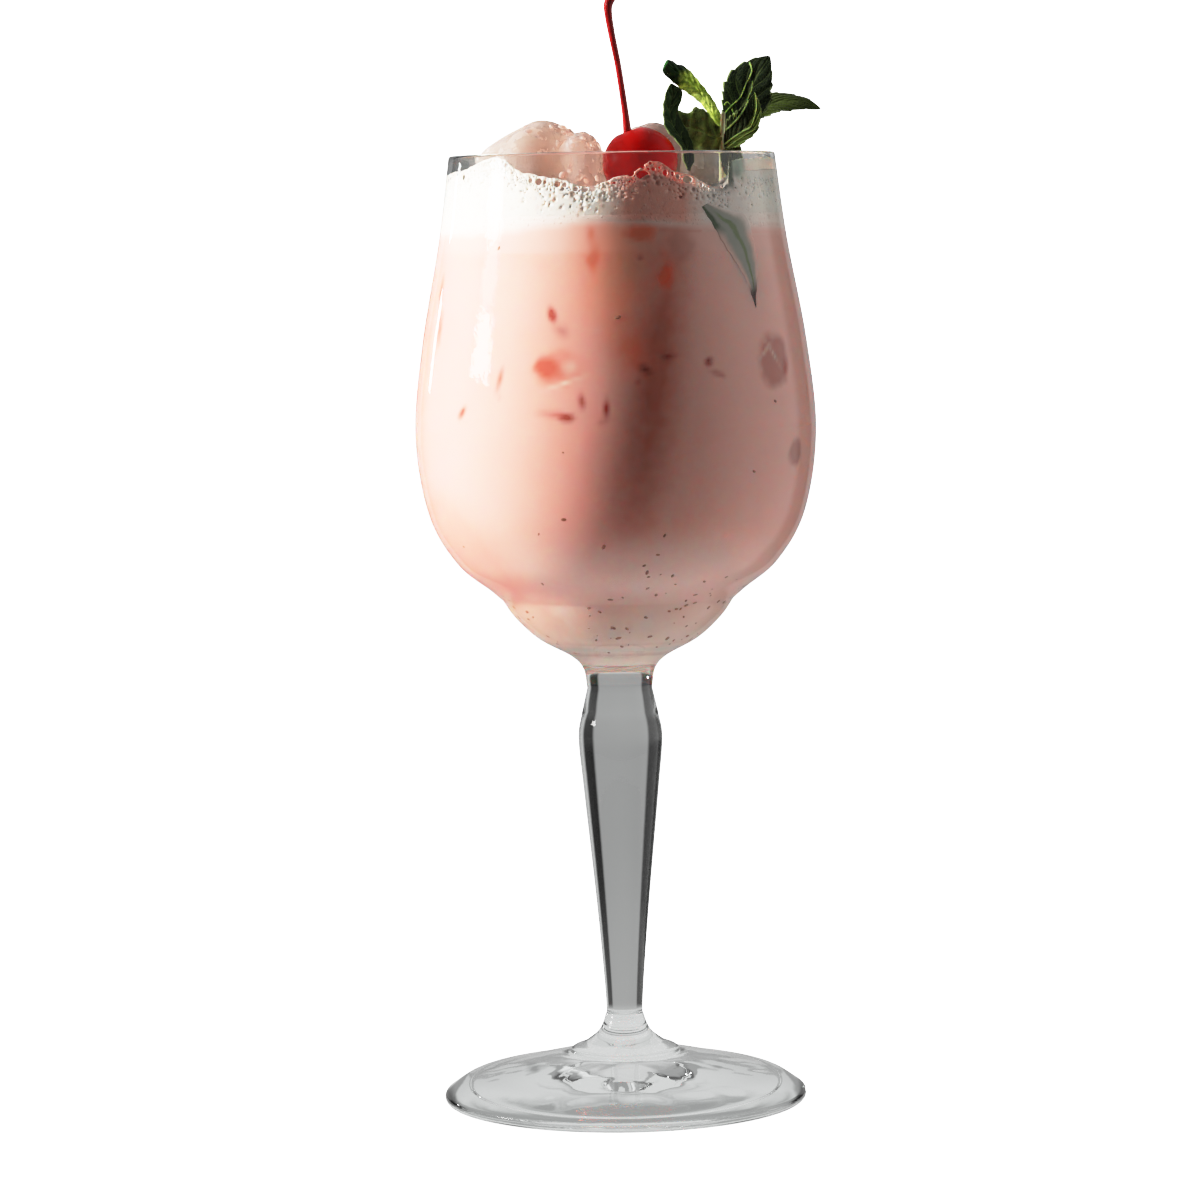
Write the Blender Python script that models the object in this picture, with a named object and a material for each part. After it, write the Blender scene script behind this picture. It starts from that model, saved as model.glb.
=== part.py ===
"""Strawberry colada in a large stemmed glass, with foam, ice, a cherry and a sprig of mint.

Metres, +Z up. The origin is the middle of the foot's underside, and -Y is the front.
Run with: blender --background --python part.py
"""

import math

import bmesh
import bpy
import numpy as np
from mathutils import Matrix, Vector, noise

MM = 0.001

# Driving dimensions of the glass
GLASS_HEIGHT = 215.0 * MM
RIM_RADIUS = 36.75 * MM
BOWL_RADIUS = 45.3 * MM  # widest, at BOWL_BULGE
BOWL_BULGE = 152.5 * MM
FOOT_RADIUS = 41.3 * MM
FOOT_EDGE = 2.8 * MM  # thickness of the foot at its edge
KNOP_RADIUS = 9.55 * MM  # the stem's swelling under the bowl
STEM_RADIUS = 4.2 * MM  # the stem's thinnest place, just above the foot
BOWL_FLOOR = 103.0 * MM  # inside of the bowl at its deepest
WALL = 1.6 * MM
RIM_WALL = 1.3 * MM

# Driving dimensions of the contents
GAP = 0.3 * MM  # left between neighbouring solids
DRINK_LEVEL = 198.5 * MM
FOAM_LEVEL = 207.0 * MM
CHERRY_RADIUS = 8.3 * MM
CHERRY_HEIGHT = 8.1 * MM  # its half height along the axis through the stalk
LEAF_THICKNESS = 0.45 * MM

AROUND = 40  # segments of every turned piece
LEAF_ROWS = 11
LEAF_COLUMNS = 3  # on each side of the midrib


# ---------------------------------------------------------------- small tools


def spaced(points, per_span):
    """A Catmull-Rom curve through the points, with this many steps to each span."""
    known = np.asarray(points, float)
    ends = np.vstack([2 * known[0] - known[1], known, 2 * known[-1] - known[-2]])
    line = []
    for before, start, end, after in zip(ends, ends[1:], ends[2:], ends[3:]):
        for step in range(per_span):
            t = step / per_span
            line.append(
                0.5
                * (
                    2 * start
                    + (end - before) * t
                    + (2 * before - 5 * start + 4 * end - after) * t**2
                    + (3 * start - before - 3 * end + after) * t**3
                )
            )
    return np.array(line + [known[-1]])


def inset(line, depth):
    """The line moved to its left by a depth, one number or one for each point."""
    along = np.gradient(line, axis=0)
    along /= np.linalg.norm(along, axis=1)[:, None]
    left = np.column_stack([-along[:, 1], along[:, 0]])
    return line + left * np.broadcast_to(depth, len(line))[:, None]


def material(name, colour, roughness, metallic=0.0, transmission=0.0):
    made = bpy.data.materials.new(name)
    made.use_nodes = True
    shader = made.node_tree.nodes["Principled BSDF"]
    shader.inputs["Base Color"].default_value = (*colour, 1.0)
    shader.inputs["Roughness"].default_value = roughness
    shader.inputs["Metallic"].default_value = metallic
    shader.inputs["Transmission Weight"].default_value = transmission
    made.diffuse_color = (*colour, 1.0)
    return made


def add_object(name, mesh, look=None):
    piece = bpy.data.objects.new(name, mesh)
    bpy.context.scene.collection.objects.link(piece)
    if look:
        mesh.materials.append(look)
        mesh.shade_smooth()
        mesh.set_sharp_from_angle(angle=math.radians(40))
    return piece


def mesh_of(name, bm):
    mesh = bpy.data.meshes.new(name)
    bmesh.ops.recalc_face_normals(bm, faces=bm.faces)
    bm.to_mesh(mesh)
    bm.free()
    return mesh


def turned(name, outline, look):
    """A solid turned from an (radius, height) outline whose two ends lie on the axis."""
    bm = bmesh.new()
    corners = [bm.verts.new((max(r, 0.0), 0.0, z)) for r, z in outline]
    edges = [bm.edges.new(pair) for pair in zip(corners, corners[1:])]
    bmesh.ops.spin(
        bm,
        geom=corners + edges,
        cent=(0, 0, 0),
        axis=(0, 0, 1),
        angle=math.tau,
        steps=AROUND,
        use_merge=True,
    )
    bmesh.ops.remove_doubles(bm, verts=bm.verts, dist=1e-6)
    return add_object(name, mesh_of(name, bm), look)


def stalk_mesh(name, points, radii, extra=0.0, sides=2):
    """A tapered round stalk along a smooth curve, as a mesh with filled ends."""
    route = spaced(points, 2)
    stations = np.linspace(0, 1, len(radii))
    thick = np.interp(np.linspace(0, 1, len(route)), stations, radii) + extra
    curve = bpy.data.curves.new(name, "CURVE")
    curve.dimensions = "3D"
    curve.bevel_depth = 1.0
    curve.bevel_resolution = sides
    curve.use_fill_caps = True
    line = curve.splines.new("POLY")
    line.points.add(len(route) - 1)
    for point, place, radius in zip(line.points, route, thick):
        point.co = (*place, 1.0)
        point.radius = radius
    bare = bpy.data.objects.new(name, curve)
    mesh = bpy.data.meshes.new_from_object(bare)
    bpy.data.objects.remove(bare)
    bpy.data.curves.remove(curve)
    bm = bmesh.new()
    bm.from_mesh(mesh)
    bmesh.ops.remove_doubles(bm, verts=bm.verts, dist=1e-7)
    bpy.data.meshes.remove(mesh)
    return mesh_of(name, bm)


def cutter(name, mesh):
    hidden = add_object(name, mesh)
    hidden.hide_render = True
    hidden.display_type = "WIRE"
    return hidden


def cut_round(piece, hidden):
    hole = piece.modifiers.new(hidden.name, "BOOLEAN")
    hole.operation = "DIFFERENCE"
    hole.object = hidden


# ---------------------------------------------------------------- glass


def foot_outline():
    """From the axis under the foot, round its edge and up to the stem."""
    underside = [(0, 1.8 * MM), (20 * MM, 1.5 * MM), (32 * MM, 0.5 * MM), (34 * MM, 0)]
    edge_centre = FOOT_RADIUS - FOOT_EDGE / 2
    edge = [
        (
            edge_centre + FOOT_EDGE / 2 * math.cos(turn),
            FOOT_EDGE / 2 * (1 + math.sin(turn)),
        )
        for turn in np.linspace(-math.pi / 2, math.pi / 3, 5)
    ]
    slope = [(36 * MM, 5.5 * MM), (29 * MM, 7.2 * MM), (21 * MM, 9.2 * MM), (15 * MM, 10.6 * MM)]
    pad = [(12.5 * MM, 11.3 * MM), (12.2 * MM, 11.9 * MM), (11.5 * MM, 12.35 * MM)]
    return underside + edge + slope + pad


def stem_outline():
    stations = [
        (9.2, 13.2),
        (6.0, 15.8),
        (4.5, 19.2),
        (STEM_RADIUS / MM, 23.0),
        (5.8, 43.4),
        (8.5, 71.0),
        (KNOP_RADIUS / MM, 83.0),
        (8.7, 88.8),
    ]
    return np.array(stations) * MM


def bowl_outline():
    """The bowl's outside from its neck to the rim: a shallow cup with a shoulder, then the tall bowl."""
    cup = [(7.4, 94.5), (8.2, 98.9), (11.0, 101.9), (18.1, 105.8), (23.4, 110.7), (26.2, 114.7)]
    bowl = [
        (28.6, 116.8),
        (36.4, 123.3),
        (42.6, 134.5),
        (BOWL_RADIUS / MM, BOWL_BULGE / MM),
        (43.3, 173.3),
        (39.2, 196.0),
        (RIM_RADIUS / MM, (GLASS_HEIGHT - RIM_WALL / 2) / MM),
    ]
    return np.vstack([cup, spaced(bowl, 2)]) * MM


def bowl_inside(outside, clearance=0.0):
    """The inside wall from the bowl's floor to the rim, or the skin of what fills it."""
    share = np.clip((outside[:, 1] - BOWL_BULGE) / (GLASS_HEIGHT - BOWL_BULGE), 0, 1)
    wall = WALL + (RIM_WALL - WALL) * share + clearance
    above_floor = outside[:, 1] > BOWL_FLOOR + 1.5 * MM
    side = inset(outside, wall)[above_floor]
    floor = [
        (0, BOWL_FLOOR + clearance),
        (6.5 * MM, BOWL_FLOOR + 0.4 * MM + clearance),
        (12 * MM, BOWL_FLOOR + 1.9 * MM + clearance),
    ]
    return np.vstack([floor, side])


def make_glass(look):
    outside = bowl_outline()
    inside = bowl_inside(outside)
    rim_middle = RIM_RADIUS - RIM_WALL / 2
    rim_height = GLASS_HEIGHT - RIM_WALL / 2
    rim = [
        (rim_middle + RIM_WALL / 2 * math.cos(turn), rim_height + RIM_WALL / 2 * math.sin(turn))
        for turn in np.linspace(0, math.pi, 5)[1:-1]
    ]
    outline = np.vstack([foot_outline(), stem_outline(), outside, rim, inside[::-1]])
    return turned("glass", outline, look)


# ---------------------------------------------------------------- drink and foam


def fill_radius(height):
    """Radius of the contents at a height, a gap inside the wall."""
    skin = bowl_inside(bowl_outline(), GAP)
    return float(np.interp(height, skin[:, 1], skin[:, 0]))


def make_drink(look):
    skin = bowl_inside(bowl_outline(), GAP)
    side = skin[skin[:, 1] < DRINK_LEVEL - 2 * MM]
    top = [(fill_radius(DRINK_LEVEL), DRINK_LEVEL), (0, DRINK_LEVEL)]
    return turned("drink", np.vstack([side, top]), look)


# Where the froth ends on the wall: bearing in degrees from +X, and height in mm
FROTH_LINE = [
    (-180, 210.2),
    (-157, 211.3),
    (-134, 214.1),
    (-121, 210.5),
    (-111, 209.4),
    (-98, 207.3),
    (-86, 209.6),
    (-75, 212.7),
    (-66, 210.1),
    (-52, 206.6),
    (-43, 208.4),
    (-16, 209.6),
    (25, 208.2),
    (62, 210.3),
    (95, 208.0),
    (135, 209.6),
    (180, 210.2),
]
CLIMB_REACH = 5.0 * MM  # how far from the wall a climb fades


def froth_line(bearing):
    """Height of the froth's edge on the wall, easing from one station to the next."""
    bearings = [station[0] for station in FROTH_LINE]
    after = max(1, int(np.searchsorted(bearings, bearing)))
    (start, low), (end, high) = FROTH_LINE[after - 1], FROTH_LINE[after]
    share = (bearing - start) / (end - start)
    return (low + (high - low) * share**2 * (3 - 2 * share)) * MM


def foam_height(x, y):
    radius = math.hypot(x, y)
    edge = froth_line(math.degrees(math.atan2(y, x)))
    near_wall = math.exp(-(fill_radius(FOAM_LEVEL) - radius) / CLIMB_REACH)
    lumps = noise.noise(Vector((x, y, 0.0)) / (7 * MM)) * 0.8 * MM
    return FOAM_LEVEL + lumps * (1 - near_wall) + (edge - FOAM_LEVEL) * near_wall


def make_foam(look, cutters):
    """A thick disc of froth whose top follows foam_height and climbs the wall."""
    rings = [0.25, 0.5, 0.7, 0.86, 1.0]
    base = DRINK_LEVEL + GAP
    bm = bmesh.new()

    def ring_at(share, place):
        made = []
        for step in range(AROUND):
            turn = math.tau * step / AROUND
            made.append(bm.verts.new(place(share, math.cos(turn), math.sin(turn))))
        return made

    def on_top(share, c, s):
        reach = share * fill_radius(FOAM_LEVEL)
        height = foam_height(reach * c, reach * s)
        if share == 1.0:
            reach = fill_radius(height)
        return (reach * c, reach * s, height)

    def on_base(share, c, s):
        reach = share * fill_radius(base)
        return (reach * c, reach * s, base)

    loops = [ring_at(share, on_top) for share in rings] + [ring_at(1.0, on_base)]
    for inner, outer in zip(loops, loops[1:]):
        for step in range(AROUND):
            after = (step + 1) % AROUND
            bm.faces.new((inner[step], outer[step], outer[after], inner[after]))
    middle = bm.verts.new((0, 0, foam_height(0, 0)))
    under = bm.verts.new((0, 0, base))
    for hub, ring in ((middle, loops[0]), (under, loops[-1])):
        for step in range(AROUND):
            bm.faces.new((hub, ring[step], ring[(step + 1) % AROUND]))
    bmesh.ops.triangulate(bm, faces=bm.faces)
    foam = add_object("foam", mesh_of("foam", bm), look)
    for hidden in cutters:
        cut_round(foam, hidden)
    return foam


# ---------------------------------------------------------------- ice

ICE_FOOT = DRINK_LEVEL + 2.1 * MM  # no lump reaches lower, so the foam alone is cut round it

# Middle, half sizes in x and y, height above and depth below the middle, the shape's seed, and its
# power: 2 is an egg, more is a block with rounded corners, less is peaked
ICE_LUMPS = {
    "ice_1": [
        ((-17.0, 3.0, 209.5), (16.0, 10.5), (13.4, 9.0), 3, 1.55),
        ((-7.6, 1.5, 209.5), (6.8, 7.8), (10.4, 8.5), 8, 2.3),
    ],
    "ice_2": [((8.8, 12.0, 210.5), (11.0, 9.0), (12.2, 9.5), 5, 1.5)],
    "ice_3": [((-12.5, 21.8, 207.5), (9.2, 6.6), (8.0, 6.5), 11, 2.5)],
    "ice_4": [((25.8, 14.0, 206.0), (5.8, 8.0), (6.5, 5.0), 14, 2.2)],
    "ice_5": [((7.0, 27.5, 207.0), (8.2, 5.2), (7.6, 6.0), 21, 2.4)],
}


def lump_mesh(name, middle, across, rise, seed, power, extra=0.0):
    """A melted lump of ice: a rounded block with flattened, uneven sides."""
    bm = bmesh.new()
    bmesh.ops.create_icosphere(bm, subdivisions=3, radius=1.0)
    for vert in bm.verts:
        way = vert.co.normalized()
        shape = sum(abs(side) ** power for side in way) ** (-1 / power)
        uneven = 1 + 0.10 * noise.noise(way * 1.7 + Vector((seed, 0, 0)))
        reach = way * shape * uneven
        tall = rise[0] if reach.z > 0 else rise[1]
        vert.co = Vector((reach.x * across[0], reach.y * across[1], reach.z * tall)) * MM
        vert.co += Vector(middle) * MM
        vert.co.z = max(vert.co.z, ICE_FOOT)
    bm.normal_update()
    for vert in bm.verts:
        vert.co += vert.normal * extra
    return mesh_of(name, bm)


def make_ice(look):
    """The lumps, and the hidden cutter that leaves room for each in the foam."""
    cutters = []
    for name, lumps in ICE_LUMPS.items():
        piece = add_object(name, lump_mesh(name, *lumps[0]), look)
        for index, lump in enumerate(lumps):
            hidden = f"{name}_room_{index}"
            cutters.append(cutter(hidden, lump_mesh(hidden, *lump, extra=1.3 * GAP)))
            if index:
                shoulder = cutter(f"{name}_shoulder", lump_mesh(f"{name}_shoulder", *lump))
                join = piece.modifiers.new(shoulder.name, "BOOLEAN")
                join.operation = "UNION"
                join.object = shoulder
    return cutters


# ---------------------------------------------------------------- cherry

CHERRY_MIDDLE = Vector((6.25, -17.0, 212.45)) * MM
CHERRY_TILT = math.radians(-19)  # about Y: the dimple leans to the left
CHERRY_STALK = [
    (3.6, -17.0, 220.0),
    (3.2, -17.0, 223.6),
    (2.5, -17.0, 229.0),
    (1.6, -17.0, 235.0),
    (0.45, -17.0, 241.0),
    (-0.2, -17.0, 245.2),
    (-0.25, -17.0, 247.4),
    (0.4, -17.0, 249.2),
]


def cherry_mesh(name, extra=0.0):
    """A round fruit, a little wider than high, with a dimple for its stalk."""
    bm = bmesh.new()
    bmesh.ops.create_uvsphere(bm, u_segments=22, v_segments=14, radius=1.0)
    for vert in bm.verts:
        away = math.hypot(vert.co.x, vert.co.y)
        dimple = 0.14 * math.exp(-((away / 0.2) ** 2)) if vert.co.z > 0 else 0.02
        vert.co.z -= dimple * (1 if vert.co.z > 0 else -1)
        vert.co.x *= CHERRY_RADIUS + extra
        vert.co.y *= CHERRY_RADIUS + extra
        vert.co.z *= CHERRY_HEIGHT + extra
    place = Matrix.Translation(CHERRY_MIDDLE) @ Matrix.Rotation(CHERRY_TILT, 4, "Y")
    bmesh.ops.transform(bm, matrix=place, verts=bm.verts)
    return mesh_of(name, bm)


def make_cherry(skin, stalk_look):
    add_object("cherry", cherry_mesh("cherry"), skin)
    points = np.array(CHERRY_STALK) * MM
    radii = np.array([0.85, 0.72, 0.7, 0.7, 0.75, 0.85, 1.05, 1.15]) * MM
    add_object("cherry_stem", stalk_mesh("cherry_stem", points, radii), stalk_look)
    return cutter("cherry_room", cherry_mesh("cherry_room", GAP))


# ---------------------------------------------------------------- mint

MINT_STALK = [
    (25.4, -4.0, 186.0),
    (25.1, -4.0, 197.0),
    (24.9, -4.0, 207.0),
    (24.8, -4.0, 215.4),
    (24.9, -4.0, 220.0),
    (25.15, -4.0, 223.8),
]
MINT_RADII = [0.95, 0.95, 0.9, 0.75, 0.6, 0.5]  # mm

# Each leaf: midrib from base to tip, the way its upper side faces at base and tip, half widths
# left and right of the midrib seen along it, where along it the blade is widest, fold of each half
# towards the upper side in degrees, and curl of the edges
MINT_LEAVES = {
    "mint_leaf_1": dict(
        midrib=[
            (24.1, -3.0, 222.0),
            (21.8, -0.4, 225.2),
            (19.1, 0.9, 228.5),
            (16.0, 0.9, 231.8),
            (12.7, -0.4, 234.8),
        ],
        facing=[(0.1, 0.98, 0.15), (0.05, 0.95, 0.3)],
        half_widths=(3.3, 3.3),
        widest=0.6,
        folds=(58, 58),
        curl=-14,
    ),
    "mint_leaf_2": dict(
        midrib=[
            (20.6, -6.6, 215.9),
            (17.2, -7.0, 216.1),
            (14.2, -7.4, 218.4),
            (12.6, -7.4, 222.0),
            (12.4, -6.8, 226.4),
            (13.6, -5.6, 230.5),
        ],
        facing=[(0.1, -0.62, 0.8), (0.85, -0.55, -0.1)],
        half_widths=(0.9, 4.8),
        widest=0.6,
        folds=(-10, 4),
        curl=0,
    ),
    "mint_leaf_3": dict(
        midrib=[
            (25.4, -2.9, 219.6),
            (27.8, -1.6, 222.4),
            (30.2, -0.8, 226.0),
            (32.2, -0.8, 230.6),
            (35.8, -2.2, 236.2),
        ],
        facing=[(-0.35, -0.9, 0.2), (-0.1, -0.75, 0.65)],
        half_widths=(6.3, 5.0),
        widest=0.54,
        folds=(10, 16),
        curl=-14,
    ),
    "mint_leaf_4": dict(
        midrib=[
            (25.4, -5.3, 216.0),
            (28.0, -7.2, 218.2),
            (30.6, -8.0, 220.8),
            (32.0, -7.8, 224.2),
            (32.2, -6.4, 227.8),
        ],
        facing=[(-0.3, -0.75, 0.6), (-0.5, -0.85, 0.1)],
        half_widths=(4.4, 2.5),
        widest=0.42,
        folds=(24, -22),
        curl=10,
    ),
    "mint_leaf_5": dict(
        midrib=[
            (25.6, -1.6, 217.6),
            (28.4, 3.0, 220.6),
            (32.0, 6.2, 224.4),
            (36.6, 7.2, 225.9),
            (42.0, 6.8, 226.2),
            (47.4, 5.8, 224.5),
        ],
        facing=[(0.0, -0.5, 0.85), (0.1, -0.6, 0.8)],
        half_widths=(4.3, 4.3),
        widest=0.58,
        folds=(4, 10),
        curl=-8,
    ),
    "mint_leaf_6": dict(
        midrib=[
            (26.6, -5.4, 208.8),
            (26.8, -5.3, 211.0),
            (27.4, -5.1, 213.4),
            (28.4, -5.0, 215.6),
            (29.4, -5.2, 217.4),
        ],
        facing=[(-0.2, -0.9, 0.3), (0.1, -0.9, 0.4)],
        half_widths=(2.0, 2.0),
        widest=0.55,
        folds=(14, 10),
        curl=0,
    ),
    "mint_leaf_7": dict(
        midrib=[
            (23.6, -3.7, 217.4),
            (20.6, -3.0, 216.8),
            (17.2, -2.9, 217.1),
            (13.8, -3.2, 218.6),
        ],
        facing=[(0.0, -0.93, 0.35), (0.2, -0.95, 0.2)],
        half_widths=(2.4, 7.6),
        widest=0.46,
        folds=(6, 6),
        curl=6,
    ),
}


def leaf_profile(share, widest):
    """Half width of a mint leaf along its length, as a share of its widest."""
    moved = share ** (math.log(0.5) / math.log(widest))
    blade = math.sin(math.pi * moved) ** 0.85 if 0 < share < 1 else 0.0
    return max(blade, 0.07)


def leaf_sheet(midrib, facing, half_widths, widest, folds, curl):
    """Rows of points across the leaf, and one last point at the tip."""
    spine = spaced(midrib, 8)
    travelled = np.concatenate([[0], np.cumsum(np.linalg.norm(np.diff(spine, axis=0), axis=1))])
    shares = np.linspace(0, 1, LEAF_ROWS + 1)
    places = np.column_stack([np.interp(shares * travelled[-1], travelled, spine[:, k]) for k in range(3)])
    along = np.gradient(places, axis=0)
    rows = []
    for index, share in enumerate(shares[:-1]):
        forward = Vector(along[index]).normalized()
        up = Vector(facing[0]).lerp(Vector(facing[1]), share)
        up = (up - forward * up.dot(forward)).normalized()
        left = up.cross(forward)
        tooth = 1.0 + (0.09 if index % 2 else -0.05) * (2 < index)
        breadth = leaf_profile(share, widest)
        row = []
        for column in range(-LEAF_COLUMNS, LEAF_COLUMNS + 1):
            side = 0 if column > 0 else 1
            reach = abs(column) / LEAF_COLUMNS
            width = half_widths[side] * breadth * reach
            if reach == 1.0:
                width *= tooth
            lift = math.radians(folds[side] * math.sin(math.pi * (0.15 + 0.7 * share)) + curl * reach)
            ripple = 0.25 * math.sin(7 * math.pi * share) * reach**2 * breadth
            out = left * math.copysign(width * math.cos(lift), column) if column else Vector()
            row.append(Vector(places[index]) + out + up * (width * math.sin(lift) + ripple))
        rows.append(row)
    return rows, Vector(places[-1])


def make_leaf(name, shape, look):
    rows, tip = leaf_sheet(**shape)
    bm = bmesh.new()
    grid = [[bm.verts.new(point * MM) for point in row] for row in rows]
    for row, beyond in zip(grid, grid[1:]):
        for k in range(2 * LEAF_COLUMNS):
            bm.faces.new((row[k], row[k + 1], beyond[k]))
            bm.faces.new((row[k + 1], beyond[k + 1], beyond[k]))
    end = bm.verts.new(tip * MM)
    for k in range(2 * LEAF_COLUMNS):
        bm.faces.new((grid[-1][k], grid[-1][k + 1], end))
    leaf = add_object(name, mesh_of(name, bm), look)
    thick = leaf.modifiers.new("Thickness", "SOLIDIFY")
    thick.thickness = LEAF_THICKNESS
    thick.offset = 0.0
    return leaf


def make_mint(stalk_look, leaf_look):
    points = np.array(MINT_STALK) * MM
    radii = np.array(MINT_RADII) * MM
    add_object("mint_stem", stalk_mesh("mint_stem", points, radii), stalk_look)
    for name, shape in MINT_LEAVES.items():
        make_leaf(name, shape, leaf_look)
    return cutter("mint_room", stalk_mesh("mint_room", points - [0, 0, GAP], radii, extra=1.2 * GAP))


# ---------------------------------------------------------------- the whole drink


def main():
    for old in list(bpy.data.objects):
        bpy.data.objects.remove(old)
    clear = material("Clear glass", (0.92, 0.95, 0.95), 0.02, transmission=1.0)
    milky = material("Strawberry colada", (0.80, 0.42, 0.33), 0.35)
    froth = material("Pale pink foam", (0.90, 0.78, 0.72), 0.6)
    ice = material("Frosted ice", (0.85, 0.72, 0.68), 0.25, transmission=0.4)
    red = material("Candied cherry skin", (0.60, 0.02, 0.02), 0.2)
    cherry_stalk = material("Red cherry stalk", (0.42, 0.05, 0.04), 0.5)
    mint_stalk = material("Pale mint stalk", (0.45, 0.52, 0.22), 0.5)
    mint_leaf = material("Mint leaf", (0.06, 0.16, 0.03), 0.45)

    make_glass(clear)
    drink = make_drink(milky)
    rooms = make_ice(ice)
    rooms.append(make_cherry(red, cherry_stalk))
    mint_room = make_mint(mint_stalk, mint_leaf)
    make_foam(froth, rooms + [mint_room])
    cut_round(drink, mint_room)


main()
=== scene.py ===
"""Strawberry colada in a large stemmed glass: every surface, built round the packed solids.

Laid out as an add-on, and run as a script. Metres, +Z up, the foot's underside on the floor, -Y front.
"""

import math
import random
from functools import cache

import bmesh
import bpy
import numpy as np
from bpy.props import FloatProperty, FloatVectorProperty, IntProperty, PointerProperty
from mathutils import Matrix, Vector, bvhtree, geometry, noise


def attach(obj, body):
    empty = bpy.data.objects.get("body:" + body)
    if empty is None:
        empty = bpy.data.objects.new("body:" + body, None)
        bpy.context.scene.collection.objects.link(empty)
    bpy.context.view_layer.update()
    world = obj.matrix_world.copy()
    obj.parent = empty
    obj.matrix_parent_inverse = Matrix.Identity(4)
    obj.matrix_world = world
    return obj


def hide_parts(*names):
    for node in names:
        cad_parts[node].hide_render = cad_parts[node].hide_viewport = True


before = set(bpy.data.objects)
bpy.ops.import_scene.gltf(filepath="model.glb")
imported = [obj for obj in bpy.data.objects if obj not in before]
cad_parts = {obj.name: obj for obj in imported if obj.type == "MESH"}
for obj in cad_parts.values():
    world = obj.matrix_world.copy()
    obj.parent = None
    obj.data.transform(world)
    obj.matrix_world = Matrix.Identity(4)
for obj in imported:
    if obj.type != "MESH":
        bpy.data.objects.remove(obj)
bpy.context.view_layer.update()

bl_info = {
    "name": "Strawberry colada",
    "version": (1, 0, 0),
    "blender": (4, 5, 0),
    "location": "View3D > Sidebar > Colada",
    "description": "Dresses a stemmed glass with its drink, froth, ice, cherry and mint",
    "category": "Object",
}

MM = 0.001
BODY = "root"

# Shape of the glass
GLASS_HEIGHT = 215.0 * MM
RIM_RADIUS = 36.75 * MM
BOWL_RADIUS = 45.3 * MM
BOWL_BULGE = 152.5 * MM
FOOT_RADIUS = 41.3 * MM
FOOT_EDGE = 2.8 * MM
KNOP_RADIUS = 9.55 * MM
STEM_RADIUS = 4.2 * MM
BOWL_FLOOR = 103.0 * MM
WALL = 1.6 * MM
RIM_WALL = 1.3 * MM
INTO_WALL = 0.06 * MM  # how far the contents reach into the glass, so that no air shows between

# Levels of the contents
FOAM_LEVEL = 207.0 * MM
LACE_FOOT = 201.0 * MM  # below this the froth itself lies against the wall, above it the lace does
LACE_DEPTH = 0.32 * MM
OVERLAP = 2.5 * MM  # how far froth and drink each run on behind the other

# Where the froth ends on the wall: bearing in degrees from +X, and height in mm
FROTH_LINE = [
    (-180, 210.2), (-157, 211.3), (-134, 214.1), (-121, 210.5), (-111, 209.4), (-98, 207.3),
    (-86, 209.6), (-75, 212.7), (-66, 210.1), (-50, 206.4), (-46.5, 207.6), (-44.5, 212.6), (-39, 213.0),
    (-16, 213.4), (25, 210.8), (62, 210.3), (95, 208.0), (135, 209.6), (180, 210.2),
]

# Where the drink ends under the froth, in the same way
DRINK_LINE = [
    (-180, 197.3), (-144, 197.6), (-129, 198.1), (-112, 199.3), (-98, 200.0), (-80, 199.6),
    (-60, 198.8), (-35, 198.2), (0, 197.6), (60, 198.8), (120, 198.0), (180, 197.3),
]


# ---------------- settings


def length(name, description, default):
    """A setting in metres."""
    return FloatProperty(name=name, description=description, default=default, unit="LENGTH", precision=5)


def colour(name, description, default):
    """A setting of red, green and blue."""
    return FloatVectorProperty(
        name=name, description=description, default=default, subtype="COLOR", size=3, min=0.0, max=1.0
    )


def number(name, description, default):
    """A setting that is any number."""
    return FloatProperty(name=name, description=description, default=default)


def count(name, description, default):
    """A setting that is a whole number."""
    return IntProperty(name=name, description=description, default=default, min=0)


class GlassSettings(bpy.types.PropertyGroup):
    segments: count("Segments", "Steps round every turned piece", 192)
    tint: colour("Tint", "Colour of the glass where light passes it", (0.97, 0.985, 0.98))
    waviness: length("Waviness", "Height of the moulded ripples under the foot", 0.16 * MM)


class DrinkSettings(bpy.types.PropertyGroup):
    milk: colour("Milk", "Colour of the blended drink", (0.92, 0.53, 0.46))
    thin_milk: colour("Thin milk", "Colour low in the cup, where little fruit is", (0.78, 0.60, 0.52))
    reach: length("Reach", "How far red light wanders in the drink", 9.0 * MM)
    seed_count: number("Seeds", "Strawberry seeds for each square metre at their densest", 70000.0)
    seed_draw: count("Seed draw", "Fixes where the seeds fall", 5)


class FrothSettings(bpy.types.PropertyGroup):
    cream: colour("Cream", "Colour of the froth", (0.98, 0.85, 0.77))
    bubble_count: count("Lace bubbles", "Open bubbles in the lace on the wall", 2600)
    top_bubbles: number("Top bubbles", "Whole bubbles for each square metre of froth", 240000.0)
    draw: count("Draw", "Fixes where the bubbles lie", 11)


class IceSettings(bpy.types.PropertyGroup):
    body: colour("Body", "Colour inside the cloudy ice", (0.56, 0.44, 0.39))
    reach: length("Reach", "How far light wanders in the ice", 26.0 * MM)
    roughness: number("Surface roughness", "How frosted the wet surface is", 0.22)


class CherrySettings(bpy.types.PropertyGroup):
    skin: colour("Skin", "Colour of the candied skin", (0.27, 0.008, 0.007))
    stalk: colour("Stalk", "Colour of the cherry's stalk", (0.42, 0.012, 0.012))
    radius: length("Radius", "Half width of the fruit", 8.3 * MM)
    half_height: length("Half height", "Half height along the stalk's axis", 8.1 * MM)


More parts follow.
